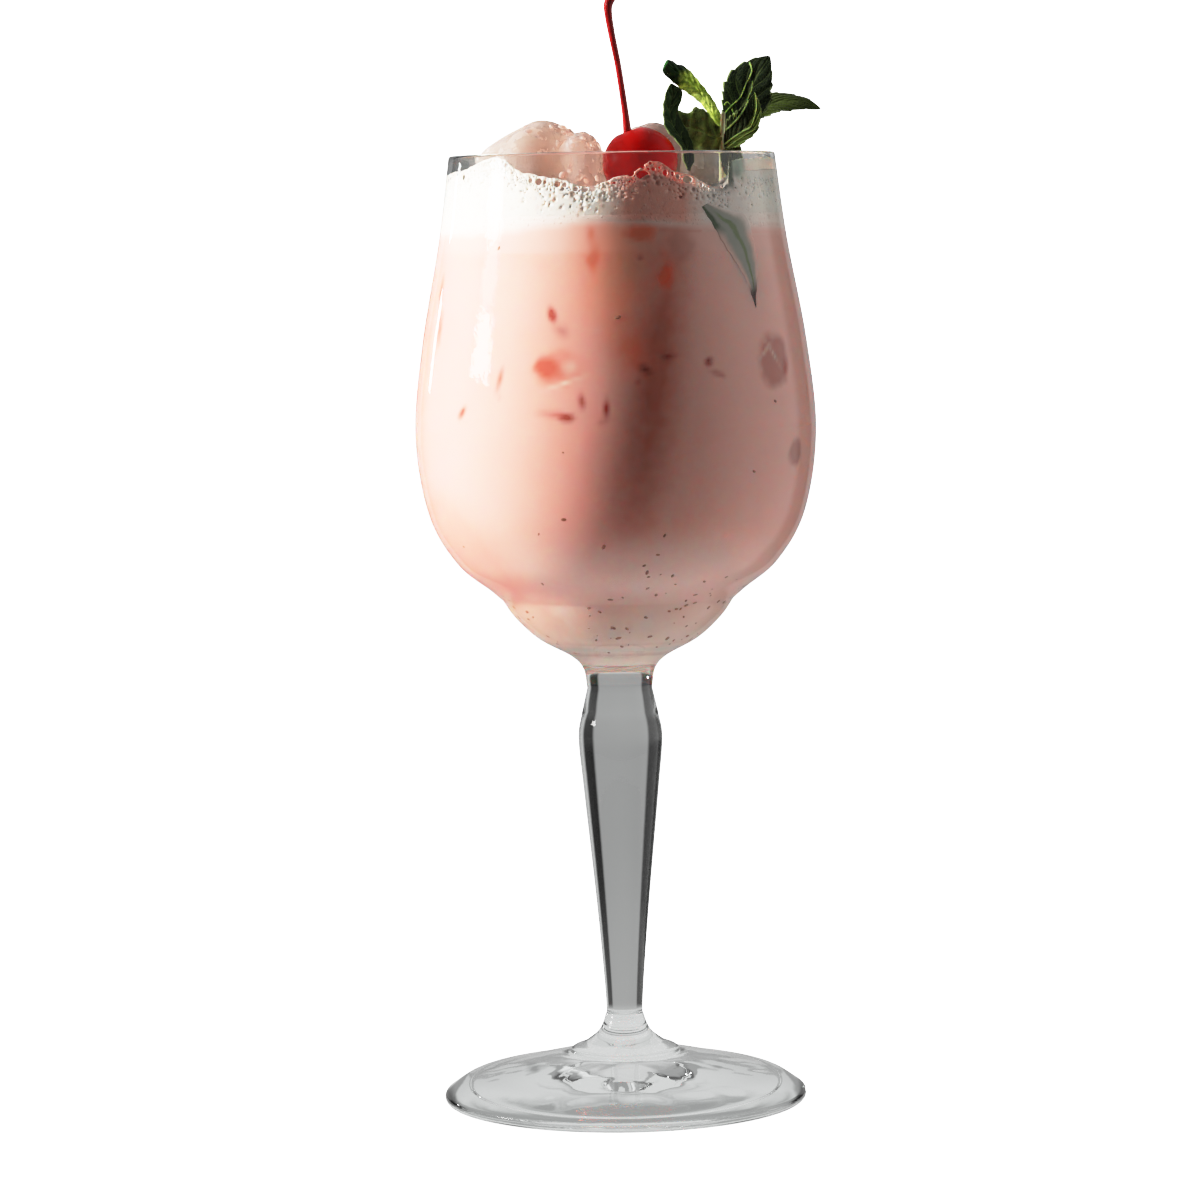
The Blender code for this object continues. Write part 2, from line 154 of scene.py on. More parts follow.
class MintSettings(bpy.types.PropertyGroup):
    blade: colour("Blade", "Upper side of a leaf in shade", (0.003, 0.0065, 0.003))
    lit_blade: colour("Lit blade", "Blade of the leaf that the light strikes", (0.72, 0.84, 0.18))
    olive_blade: colour("Olive blade", "Underside of the leaves on the right", (0.06, 0.09, 0.014))
    vein: colour("Veins", "Veins and edges", (0.50, 0.66, 0.24))
    stalk: colour("Stalk", "Colour of the stalk", (0.86, 0.92, 0.54))
    thickness: length("Thickness", "Thickness of a leaf", 0.3 * MM)


class StageSettings(bpy.types.PropertyGroup):
    key_power: number("Key light", "Watts of the large light on the left", 52.0)
    fill_power: number("Fill light", "Watts of the weaker light on the right", 7.0)
    edge_power: number("Edge light", "Watts of the light behind on the left", 0.3)
    ambient: number("Ambient", "Brightness of the room for soft light", 1.0)
    window: number("Window", "Brightness of the window that the glass mirrors", 16.0)
    pool: number("Pool", "Brightness of the floor close to the foot for soft light", 3.0)
    floor: colour("Floor", "Colour of the floor", (0.86, 0.86, 0.86))


class ColadaSettings(bpy.types.PropertyGroup):
    glass: PointerProperty(type=GlassSettings)
    drink: PointerProperty(type=DrinkSettings)
    froth: PointerProperty(type=FrothSettings)
    ice: PointerProperty(type=IceSettings)
    cherry: PointerProperty(type=CherrySettings)
    mint: PointerProperty(type=MintSettings)
    stage: PointerProperty(type=StageSettings)


# ---------------- lines and profiles


def spaced(points, per_span):
    """A Catmull-Rom curve through the points, with this many steps to each span."""
    known = np.asarray(points, float)
    ends = np.vstack([2 * known[0] - known[1], known, 2 * known[-1] - known[-2]])
    line = []
    for before, start, end, after in zip(ends, ends[1:], ends[2:], ends[3:]):
        for step in range(per_span):
            t = step / per_span
            bend = (2 * before - 5 * start + 4 * end - after) * t**2
            twist = (3 * start - before - 3 * end + after) * t**3
            line.append(0.5 * (2 * start + (end - before) * t + bend + twist))
    return np.array(line + [known[-1]])


def inset(line, depth):
    """The line moved to its left by a depth, one number or one for each point."""
    along = np.gradient(line, axis=0)
    along /= np.linalg.norm(along, axis=1)[:, None]
    left = np.column_stack([-along[:, 1], along[:, 0]])
    return line + left * np.broadcast_to(depth, len(line))[:, None]


def arc(middle, radius, start, end, steps):
    """Points round part of a circle, from one angle to another."""
    return [
        (middle[0] + radius * math.cos(turn), middle[1] + radius * math.sin(turn))
        for turn in np.linspace(start, end, steps)
    ]


def foot_outline():
    """From the axis under the foot, round its edge and up to the stem."""
    underside = spaced([(0, 1.8), (20, 1.5), (32, 0.5), (34, 0)], 8) * MM
    edge = arc((FOOT_RADIUS - FOOT_EDGE / 2, FOOT_EDGE / 2), FOOT_EDGE / 2, -math.pi / 2, math.pi / 3, 12)
    upper_side = np.array([(36, 5.5), (29, 7.2), (21, 9.2), (15, 10.6)]) * MM
    slope = spaced([edge[-1], *upper_side], 6)
    pad = spaced([(12.6, 11.25), (12.4, 11.6), (12.2, 11.9), (11.5, 12.35)], 3) * MM
    return np.vstack([underside, edge, slope[1:], pad])


def stem_outline():
    """From the foot up the tapering stem to the knop under the bowl."""
    stem = [(9.2, 13.2), (6.0, 15.8), (4.5, 19.2), (STEM_RADIUS / MM, 23.0), (5.8, 43.4), (8.5, 71.0)]
    return spaced([*stem, (KNOP_RADIUS / MM, 83.0), (8.7, 88.8)], 7) * MM


def bowl_outline():
    """The bowl's outside from its neck to the rim: a shallow cup with a shoulder, then the tall bowl."""
    cup = [(7.4, 94.5), (8.2, 98.9), (11.0, 101.9), (18.1, 105.8), (23.4, 110.7), (26.2, 114.7)]
    widest = (BOWL_RADIUS / MM, BOWL_BULGE / MM)
    rim = (RIM_RADIUS / MM, (GLASS_HEIGHT - RIM_WALL / 2) / MM)
    bowl = [(28.6, 116.8), (36.4, 123.3), (42.6, 134.5), widest, (43.3, 173.3), (39.2, 196.0), rim]
    return np.vstack([spaced(cup, 4), spaced(bowl, 12)]) * MM


def bowl_inside(clearance=0.0):
    """The inside wall from the bowl's floor to the rim, or the skin of what fills it."""
    outside = bowl_outline()
    share = np.clip((outside[:, 1] - BOWL_BULGE) / (GLASS_HEIGHT - BOWL_BULGE), 0, 1)
    wall = WALL + (RIM_WALL - WALL) * share + clearance
    above_floor = outside[:, 1] > BOWL_FLOOR + 1.5 * MM
    side = inset(outside, wall)[above_floor]
    floor = spaced([(0, 0), (6.5, 0.4), (12, 1.9)], 5) * MM + [0, BOWL_FLOOR + clearance]
    return np.vstack([floor, side])


INNER_WALL = bowl_inside()


def wall_radius(height):
    """Radius of the inside wall at a height."""
    return float(np.interp(height, INNER_WALL[:, 1], INNER_WALL[:, 0]))


def on_wall(bearing, height, inwards=0.0):
    """A point of the inside wall at a bearing in degrees, or this far inside it."""
    reach = wall_radius(height) - inwards
    turn = math.radians(bearing)
    return Vector((reach * math.cos(turn), reach * math.sin(turn), height))


def along_line(stations, bearing):
    """Height at a bearing, easing from one station to the next."""
    bearings = [station[0] for station in stations]
    after = min(max(1, int(np.searchsorted(bearings, bearing))), len(stations) - 1)
    (start, low), (end, high) = stations[after - 1], stations[after]
    share = (bearing - start) / (end - start)
    return (low + (high - low) * share**2 * (3 - 2 * share)) * MM


# ---------------- node tools


def put(tree, kind, inputs=None, **settings):
    """A new node. Each input takes a plain value, or the output of another node."""
    node = tree.nodes.new(kind)
    for name, value in settings.items():
        setattr(node, name, value)
    for key, value in (inputs or {}).items():
        if isinstance(value, bpy.types.NodeSocket):
            tree.links.new(value, node.inputs[key])
        else:
            node.inputs[key].default_value = value
    return node


def calc(tree, operation, first, second=0.0, third=0.0):
    """One step of arithmetic."""
    inputs = {0: first, 1: second, 2: third}
    return put(tree, "ShaderNodeMath", inputs, operation=operation).outputs[0]


def times(tree, first, second):
    """The product of two values."""
    return calc(tree, "MULTIPLY", first, second)


def between(tree, value, low, high, start=0.0, end=1.0):
    """The value eased from start at low to end at high."""
    inputs = {"Value": value, "From Min": low, "From Max": high, "To Min": start, "To Max": end}
    return put(tree, "ShaderNodeMapRange", inputs, interpolation_type="SMOOTHSTEP").outputs[0]


def opaque(value):
    """A colour with its alpha. An output of another node stays as it is."""
    return value if isinstance(value, bpy.types.NodeSocket) else (*tuple(value)[:3], 1.0)


def mixed(tree, share, first, second, how="MIX"):
    """The first colour turned into the second by a share."""
    inputs = {0: share, 6: opaque(first), 7: opaque(second)}
    return put(tree, "ShaderNodeMix", inputs, data_type="RGBA", blend_type=how).outputs[2]


def tinted(tone, *shares):
    """The tone multiplied by one share, or by three for red, green and blue, and kept below white."""
    return tuple(min(part * share, 0.97) for part, share in zip(tone, shares * 3))


def place_of(tree):
    """Where a point of the surface lies, in metres from the object's origin."""
    return put(tree, "ShaderNodeTexCoord").outputs["Object"]


def parts_of(tree, vector):
    """The x, y and z of a vector."""
    return put(tree, "ShaderNodeSeparateXYZ", {0: vector}).outputs


def leaf_map(tree):
    """The map of a leaf: U runs across it, V from base to tip."""
    return put(tree, "ShaderNodeUVMap", uv_map="leaf").outputs[0]


def marks_of(tree):
    """The colours that paint_marks stored on the mesh, and how strongly they show."""
    return put(tree, "ShaderNodeAttribute", attribute_name="fruit").outputs


def noise_of(tree, place, scale, detail):
    """Noise from 0 to 1."""
    return put(tree, "ShaderNodeTexNoise", {"Vector": place, "Scale": scale, "Detail": detail}).outputs["Fac"]


def drawn_out(tree, place, scales):
    """The place scaled by its own amount along each axis, for a pattern drawn out along one of them."""
    return put(tree, "ShaderNodeMapping", {"Vector": place, "Scale": scales}).outputs[0]


def clouds_of(tree, size, contrast):
    """A soft cloudy mask with clouds of this size in metres."""
    return use_group(tree, mottle_group(), size=size, contrast=contrast)["Mask"]


def bumped(tree, height, strength, distance):
    """The normals of a surface that rises by this height."""
    inputs = {"Height": height, "Strength": strength, "Distance": distance}
    return put(tree, "ShaderNodeBump", inputs).outputs[0]


SHADER_INPUTS = {
    "specular": "Specular IOR Level",
    "ior": "IOR",
    "clear": "Transmission Weight",
    "scatter": "Subsurface Weight",
    "wander": "Subsurface Radius",
    "reach": "Subsurface Scale",
    "normal": "Normal",
}


def principled(tree, base, roughness, **more):
    """The main shader, with any of the further inputs listed above."""
    inputs = {"Base Color": opaque(base), "Roughness": roughness}
    inputs |= {SHADER_INPUTS[name]: value for name, value in more.items()}
    return put(tree, "ShaderNodeBsdfPrincipled", inputs).outputs[0]


def rays(tree):
    """What kind of ray is being followed, and how often it was mirrored or scattered."""
    return put(tree, "ShaderNodeLightPath").outputs


def transparent(tree, tone):
    """A shader that lets light straight through, tinted."""
    return put(tree, "ShaderNodeBsdfTransparent", {"Color": opaque(tone)}).outputs[0]


def shaders_mixed(tree, share, first, second):
    """The first shader turned into the second by a share."""
    return put(tree, "ShaderNodeMixShader", {0: share, 1: first, 2: second}).outputs[0]


def letting_by(tree, shader, tone, share):
    """The shader, with this share of the light from lamps passing straight through it."""
    passing = times(tree, rays(tree)["Is Shadow Ray"], share)
    return shaders_mixed(tree, passing, shader, transparent(tree, tone))


def new_finish(name):
    """A new material and its empty node tree."""
    look = bpy.data.materials.new(name)
    look.use_nodes = True
    look.node_tree.nodes.clear()
    return look, look.node_tree


def end_finish(look, shader, shown):
    """Joins the shader to the output, and gives the plain colour for the viewport."""
    put(look.node_tree, "ShaderNodeOutputMaterial", {"Surface": shader})
    look.diffuse_color = opaque(shown)
    return look


SOCKET_TYPES = {float: "NodeSocketFloat", int: "NodeSocketInt", tuple: "NodeSocketVector"}


def open_group(name, kind, takes, gives):
    """A node group and what it is given. It takes inputs by name, each with its default or, where
    there is none, the type of its socket. It gives outputs by name: masks, or pieces of geometry."""
    tree = bpy.data.node_groups.new(name, kind)
    for label, default in takes.items():
        has_default = not isinstance(default, str)
        socket_type = SOCKET_TYPES[type(default)] if has_default else default
        socket = tree.interface.new_socket(label, in_out="INPUT", socket_type=socket_type)
        if has_default:
            socket.default_value = default
    given_type = "NodeSocketFloat" if kind == "ShaderNodeTree" else "NodeSocketGeometry"
    for label in gives:
        tree.interface.new_socket(label, in_out="OUTPUT", socket_type=given_type)
    return tree, tree.nodes.new("NodeGroupInput").outputs


def close_group(tree, **outputs):
    """Joins what the group gives."""
    leave = tree.nodes.new("NodeGroupOutput")
    for label, output in outputs.items():
        tree.links.new(output, leave.inputs[label])
    return tree


def use_group(tree, group, **inputs):
    """What a group gives for these inputs."""
    node = tree.nodes.new("ShaderNodeGroup")
    node.node_tree = group
    for name, value in inputs.items():
        node.inputs[name.capitalize()].default_value = value
    return node.outputs


# ---------------- shared shader groups, each built once


@cache
def mottle_group():
    """Soft cloudy variation, from 0 to 1."""
    tree, given = open_group("Mottle", "ShaderNodeTree", {"Size": 0.01, "Contrast": 0.3}, ["Mask"])
    scale = calc(tree, "DIVIDE", 1.0, given["Size"])
    inputs = {"Vector": place_of(tree), "Scale": scale, "Detail": 4.0, "Roughness": 0.55}
    cloud = put(tree, "ShaderNodeTexNoise", inputs).outputs["Fac"]
    low = calc(tree, "SUBTRACT", 0.5, given["Contrast"])
    high = calc(tree, "ADD", 0.5, given["Contrast"])
    return close_group(tree, Mask=between(tree, cloud, low, high))


@cache
def bubble_group():
    """Round bubbles of uneven size packed over a surface: a mask that is 1 inside, and a height."""
    takes = {"Size": 0.001, "Fill": 0.5}
    tree, given = open_group("Bubbles", "ShaderNodeTree", takes, ["Mask", "Height"])
    scale = calc(tree, "DIVIDE", 1.0, given["Size"])
    inputs = {"Vector": place_of(tree), "Scale": scale, "Randomness": 1.0}
    cells = put(tree, "ShaderNodeTexVoronoi", inputs).outputs
    own = put(tree, "ShaderNodeSeparateColor", {"Color": cells["Color"]}).outputs[0]
    reach = times(tree, calc(tree, "MULTIPLY_ADD", own, 0.7, 0.3), given["Fill"])
    inside = between(tree, cells["Distance"], reach, times(tree, reach, 0.6))
    dome = calc(tree, "MAXIMUM", calc(tree, "SUBTRACT", reach, cells["Distance"]), 0.0)
    return close_group(tree, Mask=inside, Height=dome)


@cache
def vein_group():
    """Veins of a mint leaf on its map, how the blade puffs up between them, and the leaf's edges."""
    takes = {"Pairs": 7.0, "Sweep": 0.45, "Width": 0.1}
    tree, given = open_group("Leaf veins", "ShaderNodeTree", takes, ["Veins", "Puff", "Edge"])
    uv = leaf_map(tree)
    parts = parts_of(tree, uv)
    shift = calc(tree, "MULTIPLY_ADD", noise_of(tree, uv, 6.0, 2.0), 0.08, -0.04)
    across = calc(tree, "ABSOLUTE", calc(tree, "MULTIPLY_ADD", parts[0], 2.0, -1.0))
    swept = times(tree, calc(tree, "POWER", across, 0.8), given["Sweep"])
    along = calc(tree, "ADD", calc(tree, "SUBTRACT", parts[1], swept), shift)
    phase = calc(tree, "FRACT", times(tree, along, given["Pairs"]))
    off_line = calc(tree, "ABSOLUTE", calc(tree, "SUBTRACT", phase, 0.5))
    lateral = between(tree, off_line, given["Width"], 0.0)
    thinning = between(tree, across, 1.0, 0.2, 0.25, 1.0)
    midrib = between(tree, calc(tree, "ADD", across, shift), 0.09, 0.03)
    veins = calc(tree, "MAXIMUM", times(tree, lateral, thinning), midrib)
    net_inputs = {"Vector": uv, "Scale": 26.0}
    fine = put(tree, "ShaderNodeTexVoronoi", net_inputs, feature="DISTANCE_TO_EDGE").outputs["Distance"]
    veins = calc(tree, "MAXIMUM", veins, between(tree, fine, 0.08, 0.0, 0.0, 0.35))
    puff = calc(tree, "MULTIPLY_ADD", off_line, 2.0, times(tree, fine, 0.8))
    return close_group(tree, Veins=veins, Puff=puff, Edge=between(tree, across, 0.9, 1.0))


# ---------------- materials

LOW_IN_CUP = (124.0 * MM, 108.0 * MM)  # the drink thins out from the first height down to the second
UNDER_FROTH = (184.0 * MM, 193.0 * MM)  # between these heights light stops wandering in the drink
MILKY = (1.0, 0.85, 0.75)  # how far red, green and blue wander in froth and ice, beside each other


def glass_finish(tint):
    """Clear glass. Light from the lamps passes it straight, so that it reaches the drink, and so
    does a ray that is caught between its faces."""
    look, tree = new_finish("Clear glass")
    waves = bumped(tree, clouds_of(tree, 0.012, 0.4), 0.05, 0.0004)
    clear = principled(tree, tint, 0.0, ior=1.5, clear=1.0, normal=waves)
    path = rays(tree)
    caught = calc(tree, "GREATER_THAN", path["Glossy Depth"], 2.5)
    straight = calc(tree, "MAXIMUM", path["Is Shadow Ray"], caught)
    return end_finish(look, shaders_mixed(tree, straight, clear, transparent(tree, tint)), tint)


def milk_colour(tree, drink, height):
    """The drink's colour: clouded, thinner low down, and tinted by the marks on the mesh."""
    low_down = between(tree, height, *LOW_IN_CUP)
    clouds = clouds_of(tree, 0.018, 0.35)
    milk = mixed(tree, times(tree, clouds, 0.12), drink.milk, drink.thin_milk)
    milk = mixed(tree, low_down, milk, drink.thin_milk)
    marks = marks_of(tree)
    return mixed(tree, marks["Alpha"], milk, marks["Color"])


def drink_finish(drink):
    """Milky drink, which lets light wander in it except close to the froth."""
    look, tree = new_finish("Strawberry colada")
    height = parts_of(tree, place_of(tree))[2]
    base = milk_colour(tree, drink, height)
    reach = times(tree, between(tree, height, *UNDER_FROTH, 1.0, 0.0), drink.reach)
    wander = (1.0, 0.32, 0.2)
    shader = principled(tree, base, 0.45, specular=0.1, scatter=1.0, wander=wander, reach=reach)
    return end_finish(look, shader, drink.milk)


def froth_finish(froth, name, depth=0.0):
    """Fine froth with open bubbles of two sizes, tinted by the marks on the mesh. Light wanders in
    it to this depth."""
    look, tree = new_finish(name)
    fine = use_group(tree, bubble_group(), size=0.0007, fill=0.45)
    middling = use_group(tree, bubble_group(), size=0.0018, fill=0.42)
    shaded_pits = calc(tree, "MAXIMUM", fine["Mask"], middling["Mask"])
    marks = marks_of(tree)
    cream = mixed(tree, marks["Alpha"], froth.cream, marks["Color"])
    # Painted shade: the open bubbles are darker inside
    base = mixed(tree, times(tree, shaded_pits, 0.22), cream, (0.62, 0.42, 0.36))
    height = calc(tree, "ADD", fine["Height"], middling["Height"])
    strength, scatter = (0.3, 1.0) if depth else (0.5, 0.0)
    bumps = bumped(tree, height, strength, 0.0006)
    inner = {"scatter": scatter, "wander": MILKY, "reach": depth}
    shader = principled(tree, base, 0.5, specular=0.3, normal=bumps, **inner)
    return end_finish(look, shader, froth.cream)


def bubble_finish(froth):
    """Whole bubbles on the froth: thin, wet and nearly clear."""
    look, tree = new_finish("Froth bubbles")
    rough = between(tree, clouds_of(tree, 0.002, 0.3), 0.0, 1.0, 0.08, 0.3)
    return end_finish(look, principled(tree, froth.cream, rough, ior=1.2, clear=0.7), froth.cream)


def ice_finish(ice, name, inside):
    """Cloudy melting ice, wet outside, with small bright inclusions. Part of the light passes it."""
    look, tree = new_finish(name)
    clouds = clouds_of(tree, 0.006, 0.3)
    specks = use_group(tree, bubble_group(), size=0.0035, fill=0.16)
    place = place_of(tree)
    # Painted light: brighter right of x = -11 mm, on the crushed side in shade, darker on the lit left
    crushed = between(tree, parts_of(tree, place)[0], -20 * MM, -11 * MM)
    body = mixed(tree, crushed, inside, tinted(inside, 1.65))
    body = mixed(tree, times(tree, clouds, 0.4), body, tinted(inside, 1.35))
    base = mixed(tree, times(tree, specks["Mask"], 0.3), body, (0.96, 0.88, 0.83))
    crazed = noise_of(tree, place, 420.0, 5.0)
    height = calc(tree, "ADD", crazed, times(tree, specks["Height"], 2.0))
    bumps = bumped(tree, height, 0.6, 0.0009)
    rough = between(tree, clouds, 0.0, 1.0, ice.roughness * 0.6, ice.roughness * 1.5)
    inner = {"scatter": 1.0, "wander": MILKY, "reach": ice.reach, "clear": 0.35}
    shader = principled(tree, base, rough, ior=1.31, normal=bumps, **inner)
    return end_finish(look, letting_by(tree, shader, (0.95, 0.86, 0.80), 0.75), inside)


def cherry_finish(skin):
    """Deep red candied skin, slightly dimpled and wet, and clearer towards its right."""
    look, tree = new_finish("Candied cherry skin")
    clouds = clouds_of(tree, 0.005, 0.35)
    # Painted light: the skin is darker on the lit left and brighter on the shaded right, evening out the
    # light
    deeper = tinted(skin, 0.42)
    right = between(tree, parts_of(tree, place_of(tree))[0], -1 * MM, 13 * MM)
    base = mixed(tree, right, deeper, tinted(skin, 2.8, 0.6, 0.4))
    base = mixed(tree, times(tree, clouds, 0.35), base, deeper)
    pores = use_group(tree, bubble_group(), size=0.0009, fill=0.3)["Height"]
    rough = between(tree, clouds, 0.0, 1.0, 0.16, 0.3)
    inner = {"scatter": 1.0, "wander": (1.0, 0.12, 0.08), "reach": 9.0 * MM}
    dimples = bumped(tree, pores, 0.06, 0.0003)
    return end_finish(look, principled(tree, base, rough, specular=0.06, normal=dimples, **inner), skin)


def stalk_finish(name, base_colour, streak_colour, roughness):
    """A plant stalk, streaked along its length."""
    look, tree = new_finish(name)
    streaks = noise_of(tree, drawn_out(tree, place_of(tree), (2200.0, 2200.0, 160.0)), 1.0, 3.0)
    base = mixed(tree, between(tree, streaks, 0.35, 0.7), base_colour, streak_colour)
    inner = {"scatter": 0.3, "wander": (1.0, 0.5, 0.2), "reach": 0.8 * MM}
    shader = principled(tree, base, roughness, normal=bumped(tree, streaks, 0.3, 0.0003), **inner)
    return end_finish(look, shader, base_colour)


def leaf_finish(name, blade, vein, style, vein_share, pairs, sweep, width):
    """A mint leaf: puckered blade between paler veins, with light passing through it. Its style is
    'plain', 'dark half' for one with its right half in shade, 'blotched' for one with deep soft
    spots, or 'pitted' for one that is dark in its folds and towards its curled tip."""
    look, tree = new_finish(name)
    marks = use_group(tree, vein_group(), pairs=pairs, sweep=sweep, width=width)
    blotched, pitted = style == "blotched", style == "pitted"
    clouds = clouds_of(tree, 0.003 if blotched else 0.004, 0.3)
    green = mixed(tree, clouds, blade, tinted(blade, 0.05 if blotched else 0.55))
    if style == "dark half":
        across = parts_of(tree, leaf_map(tree))[0]
        green = mixed(tree, between(tree, across, 0.48, 0.54), green, (0.008, 0.014, 0.005))
    edges = times(tree, marks["Edge"], 0.5)
    strong = calc(tree, "MAXIMUM", times(tree, marks["Veins"], vein_share), edges)
    base = mixed(tree, strong, green, vein)
    if pitted:
        # Painted shade in the leaf's folds
        shaded_pits = clouds_of(tree, 0.0008, 0.08)
        base = mixed(tree, times(tree, shaded_pits, 0.6), base, (0.08, 0.16, 0.02))
        along = calc(tree, "MULTIPLY_ADD", clouds, 0.1, parts_of(tree, leaf_map(tree))[1])
        base = mixed(tree, between(tree, along, 0.70, 0.80), base, (0.008, 0.02, 0.006))
        base = mixed(tree, between(tree, along, 0.95, 1.0), base, (0.05, 0.24, 0.04))
    puffs = bumped(tree, marks["Puff"], 0.6, 0.0005)
    shader = principled(tree, base, 0.45, specular=0.15, normal=puffs)
    glow = put(tree, "ShaderNodeBsdfTranslucent", {"Color": base, "Normal": puffs}).outputs[0]
    shader = shaders_mixed(tree, 0.35 if pitted else 0.25, shader, glow)
    if pitted or blotched:
        shader = letting_by(tree, shader, (0.9, 1.0, 0.7), 0.8)
    return end_finish(look, shader, blade)


def sunk_leaf_finish(settings):
    """A leaf seen through milk: grey, with a green midrib, one dark edge and a brown tip."""
    look, tree = new_finish("Sunk mint leaf")
    parts = parts_of(tree, leaf_map(tree))
    height = parts_of(tree, place_of(tree))[2]
    around = milk_colour(tree, settings.drink, height)
    around = mixed(tree, between(tree, height, 195.5 * MM, 198.5 * MM), around, (0.84, 0.70, 0.64))
    clouds = clouds_of(tree, 0.003, 0.3)
    across = calc(tree, "MULTIPLY_ADD", calc(tree, "SUBTRACT", clouds, 0.5), 0.10, parts[0])
    along = calc(tree, "MULTIPLY_ADD", clouds, 0.04, parts[1])
    leaf = mixed(tree, between(tree, across, 0.6, 1.0), (0.34, 0.34, 0.295), (0.48, 0.41, 0.35))
    off_rib = calc(tree, "ABSOLUTE", calc(tree, "SUBTRACT", across, 0.50))
    rib = times(tree, between(tree, off_rib, 0.11, 0.03), between(tree, along, 0.08, 0.2))
    leaf = mixed(tree, times(tree, rib, 0.85), leaf, (0.17, 0.22, 0.09))
    fade = times(tree, between(tree, across, -0.02, 0.25), between(tree, across, 1.0, 0.72))
    base = mixed(tree, fade, around, leaf)
    edge = times(tree, between(tree, across, 0.32, 0.12), between(tree, along, 0.36, 0.22))
    base = mixed(tree, times(tree, edge, 0.92), base, (0.035, 0.075, 0.025))
    base = mixed(tree, between(tree, along, 0.78, 0.92), base, (0.05, 0.018, 0.012))
    return end_finish(look, principled(tree, base, 0.6, specular=0.1), (0.34, 0.33, 0.30))


def fruit_finish():
    """Strawberry flesh sunk in the drink, in the colours of its marks."""
    look, tree = new_finish("Strawberry flesh")
    clouds = clouds_of(tree, 0.0025, 0.3)
    base = mixed(tree, times(tree, clouds, 0.35), marks_of(tree)["Color"], (0.80, 0.34, 0.22))
    inner = {"scatter": 1.0, "wander": (1.0, 0.3, 0.2), "reach": 0.5 * MM}
    return end_finish(look, principled(tree, base, 0.35, **inner), (0.6, 0.1, 0.05))


def seed_finish():
    """Brown strawberry seeds, some paler."""
    look, tree = new_finish("Strawberry seed")
    base = mixed(tree, clouds_of(tree, 0.0012, 0.2), (0.24, 0.08, 0.05), (0.50, 0.25, 0.16))
    return end_finish(look, principled(tree, base, 0.5), (0.15, 0.05, 0.03))


# ---------------- geometry node trees


def clad(tree, pieces, finish):
    """Smooth pieces of geometry, as one real mesh in this finish."""
    real = put(tree, "GeometryNodeRealizeInstances", {"Geometry": pieces}).outputs[0]
    smooth = put(tree, "GeometryNodeSetShadeSmooth", {"Geometry": real}).outputs[0]
    return put(tree, "GeometryNodeSetMaterial", {"Geometry": smooth, "Material": finish}).outputs[0]


@cache
def turning_tree():
    """Turns a profile, the points of a mesh in their order, about the Z axis."""
    takes = {"Profile": "NodeSocketGeometry", "Segments": 64, "Finish": "NodeSocketMaterial"}
    tree, given = open_group("Turning", "GeometryNodeTree", takes, ["Turned"])
    profile, segments = given["Profile"], given["Segments"]
    size = put(tree, "GeometryNodeAttributeDomainSize", {"Geometry": profile}, component="MESH")
    points = size.outputs["Point Count"]
    columns = calc(tree, "ADD", segments, 1.0)
    grid = put(tree, "GeometryNodeMeshGrid", {"Vertices X": columns, "Vertices Y": points}).outputs[0]
    index = put(tree, "GeometryNodeInputIndex").outputs[0]
    row = calc(tree, "MODULO", index, points)
    column = calc(tree, "FLOOR", calc(tree, "DIVIDE", calc(tree, "ADD", index, 0.5), points))
    own = put(tree, "GeometryNodeInputPosition").outputs[0]
    inputs = {"Geometry": profile, "Value": own, "Index": row}
    radius, _, height = parts_of(
        tree, put(tree, "GeometryNodeSampleIndex", inputs, data_type="FLOAT_VECTOR").outputs[0]
    )
    turn = times(tree, calc(tree, "DIVIDE", column, segments), math.tau)
    x = times(tree, radius, calc(tree, "COSINE", turn))
    y = times(tree, radius, calc(tree, "SINE", turn))
    place = put(tree, "ShaderNodeCombineXYZ", {0: x, 1: y, 2: height}).outputs[0]
    moved = put(tree, "GeometryNodeSetPosition", {"Geometry": grid, "Position": place}).outputs[0]
    merged = put(tree, "GeometryNodeMergeByDistance", {"Geometry": moved, "Distance": 2e-6}).outputs[0]
    return close_group(tree, Turned=clad(tree, merged, given["Finish"]))


@cache
def scatter_tree():
    """Small rounded grains over a surface, thicker where its 'spread' attribute is high."""
    takes = {
        "Surface": "NodeSocketGeometry",
        "Density": 1000.0,
        "Smallest": 0.0003,
        "Largest": 0.0006,
        "Stretch": (1.0, 1.0, 1.0),
        "Draw": 0,
        "Finish": "NodeSocketMaterial",
    }
    tree, given = open_group("Scatter", "GeometryNodeTree", takes, ["Grains"])
    draw = given["Draw"]
    spread = put(tree, "GeometryNodeInputNamedAttribute", {"Name": "spread"}, data_type="FLOAT").outputs[0]
    inputs = {"Mesh": given["Surface"], "Density": times(tree, spread, given["Density"]), "Seed": draw}
    points = put(tree, "GeometryNodeDistributePointsOnFaces", inputs).outputs
    ball = put(tree, "GeometryNodeMeshIcoSphere", {"Radius": 1.0, "Subdivisions": 2}).outputs[0]
    grain = put(tree, "GeometryNodeTransform", {"Geometry": ball, "Scale": given["Stretch"]}).outputs[0]
    inputs = {2: given["Smallest"], 3: given["Largest"], "Seed": draw}
    size = put(tree, "FunctionNodeRandomValue", inputs, data_type="FLOAT").outputs[1]
    inputs = {0: (0.0, 0.0, 0.0), 1: (0.3, 0.3, math.tau), "Seed": draw}
    spin = put(tree, "FunctionNodeRandomValue", inputs, data_type="FLOAT_VECTOR").outputs[0]
    inputs = {"Rotation": points["Rotation"], "Rotate By": spin}
    turned = put(tree, "FunctionNodeRotateRotation", inputs, rotation_space="LOCAL").outputs[0]
    inputs = {"Points": points["Points"], "Instance": grain, "Rotation": turned, "Scale": size}
    placed = put(tree, "GeometryNodeInstanceOnPoints", inputs).outputs[0]
    return close_group(tree, Grains=clad(tree, placed, given["Finish"]))


def add_object(name, data):
    """A new object in the scene."""
    made = bpy.data.objects.new(name, data)
    bpy.context.scene.collection.objects.link(made)
    return made


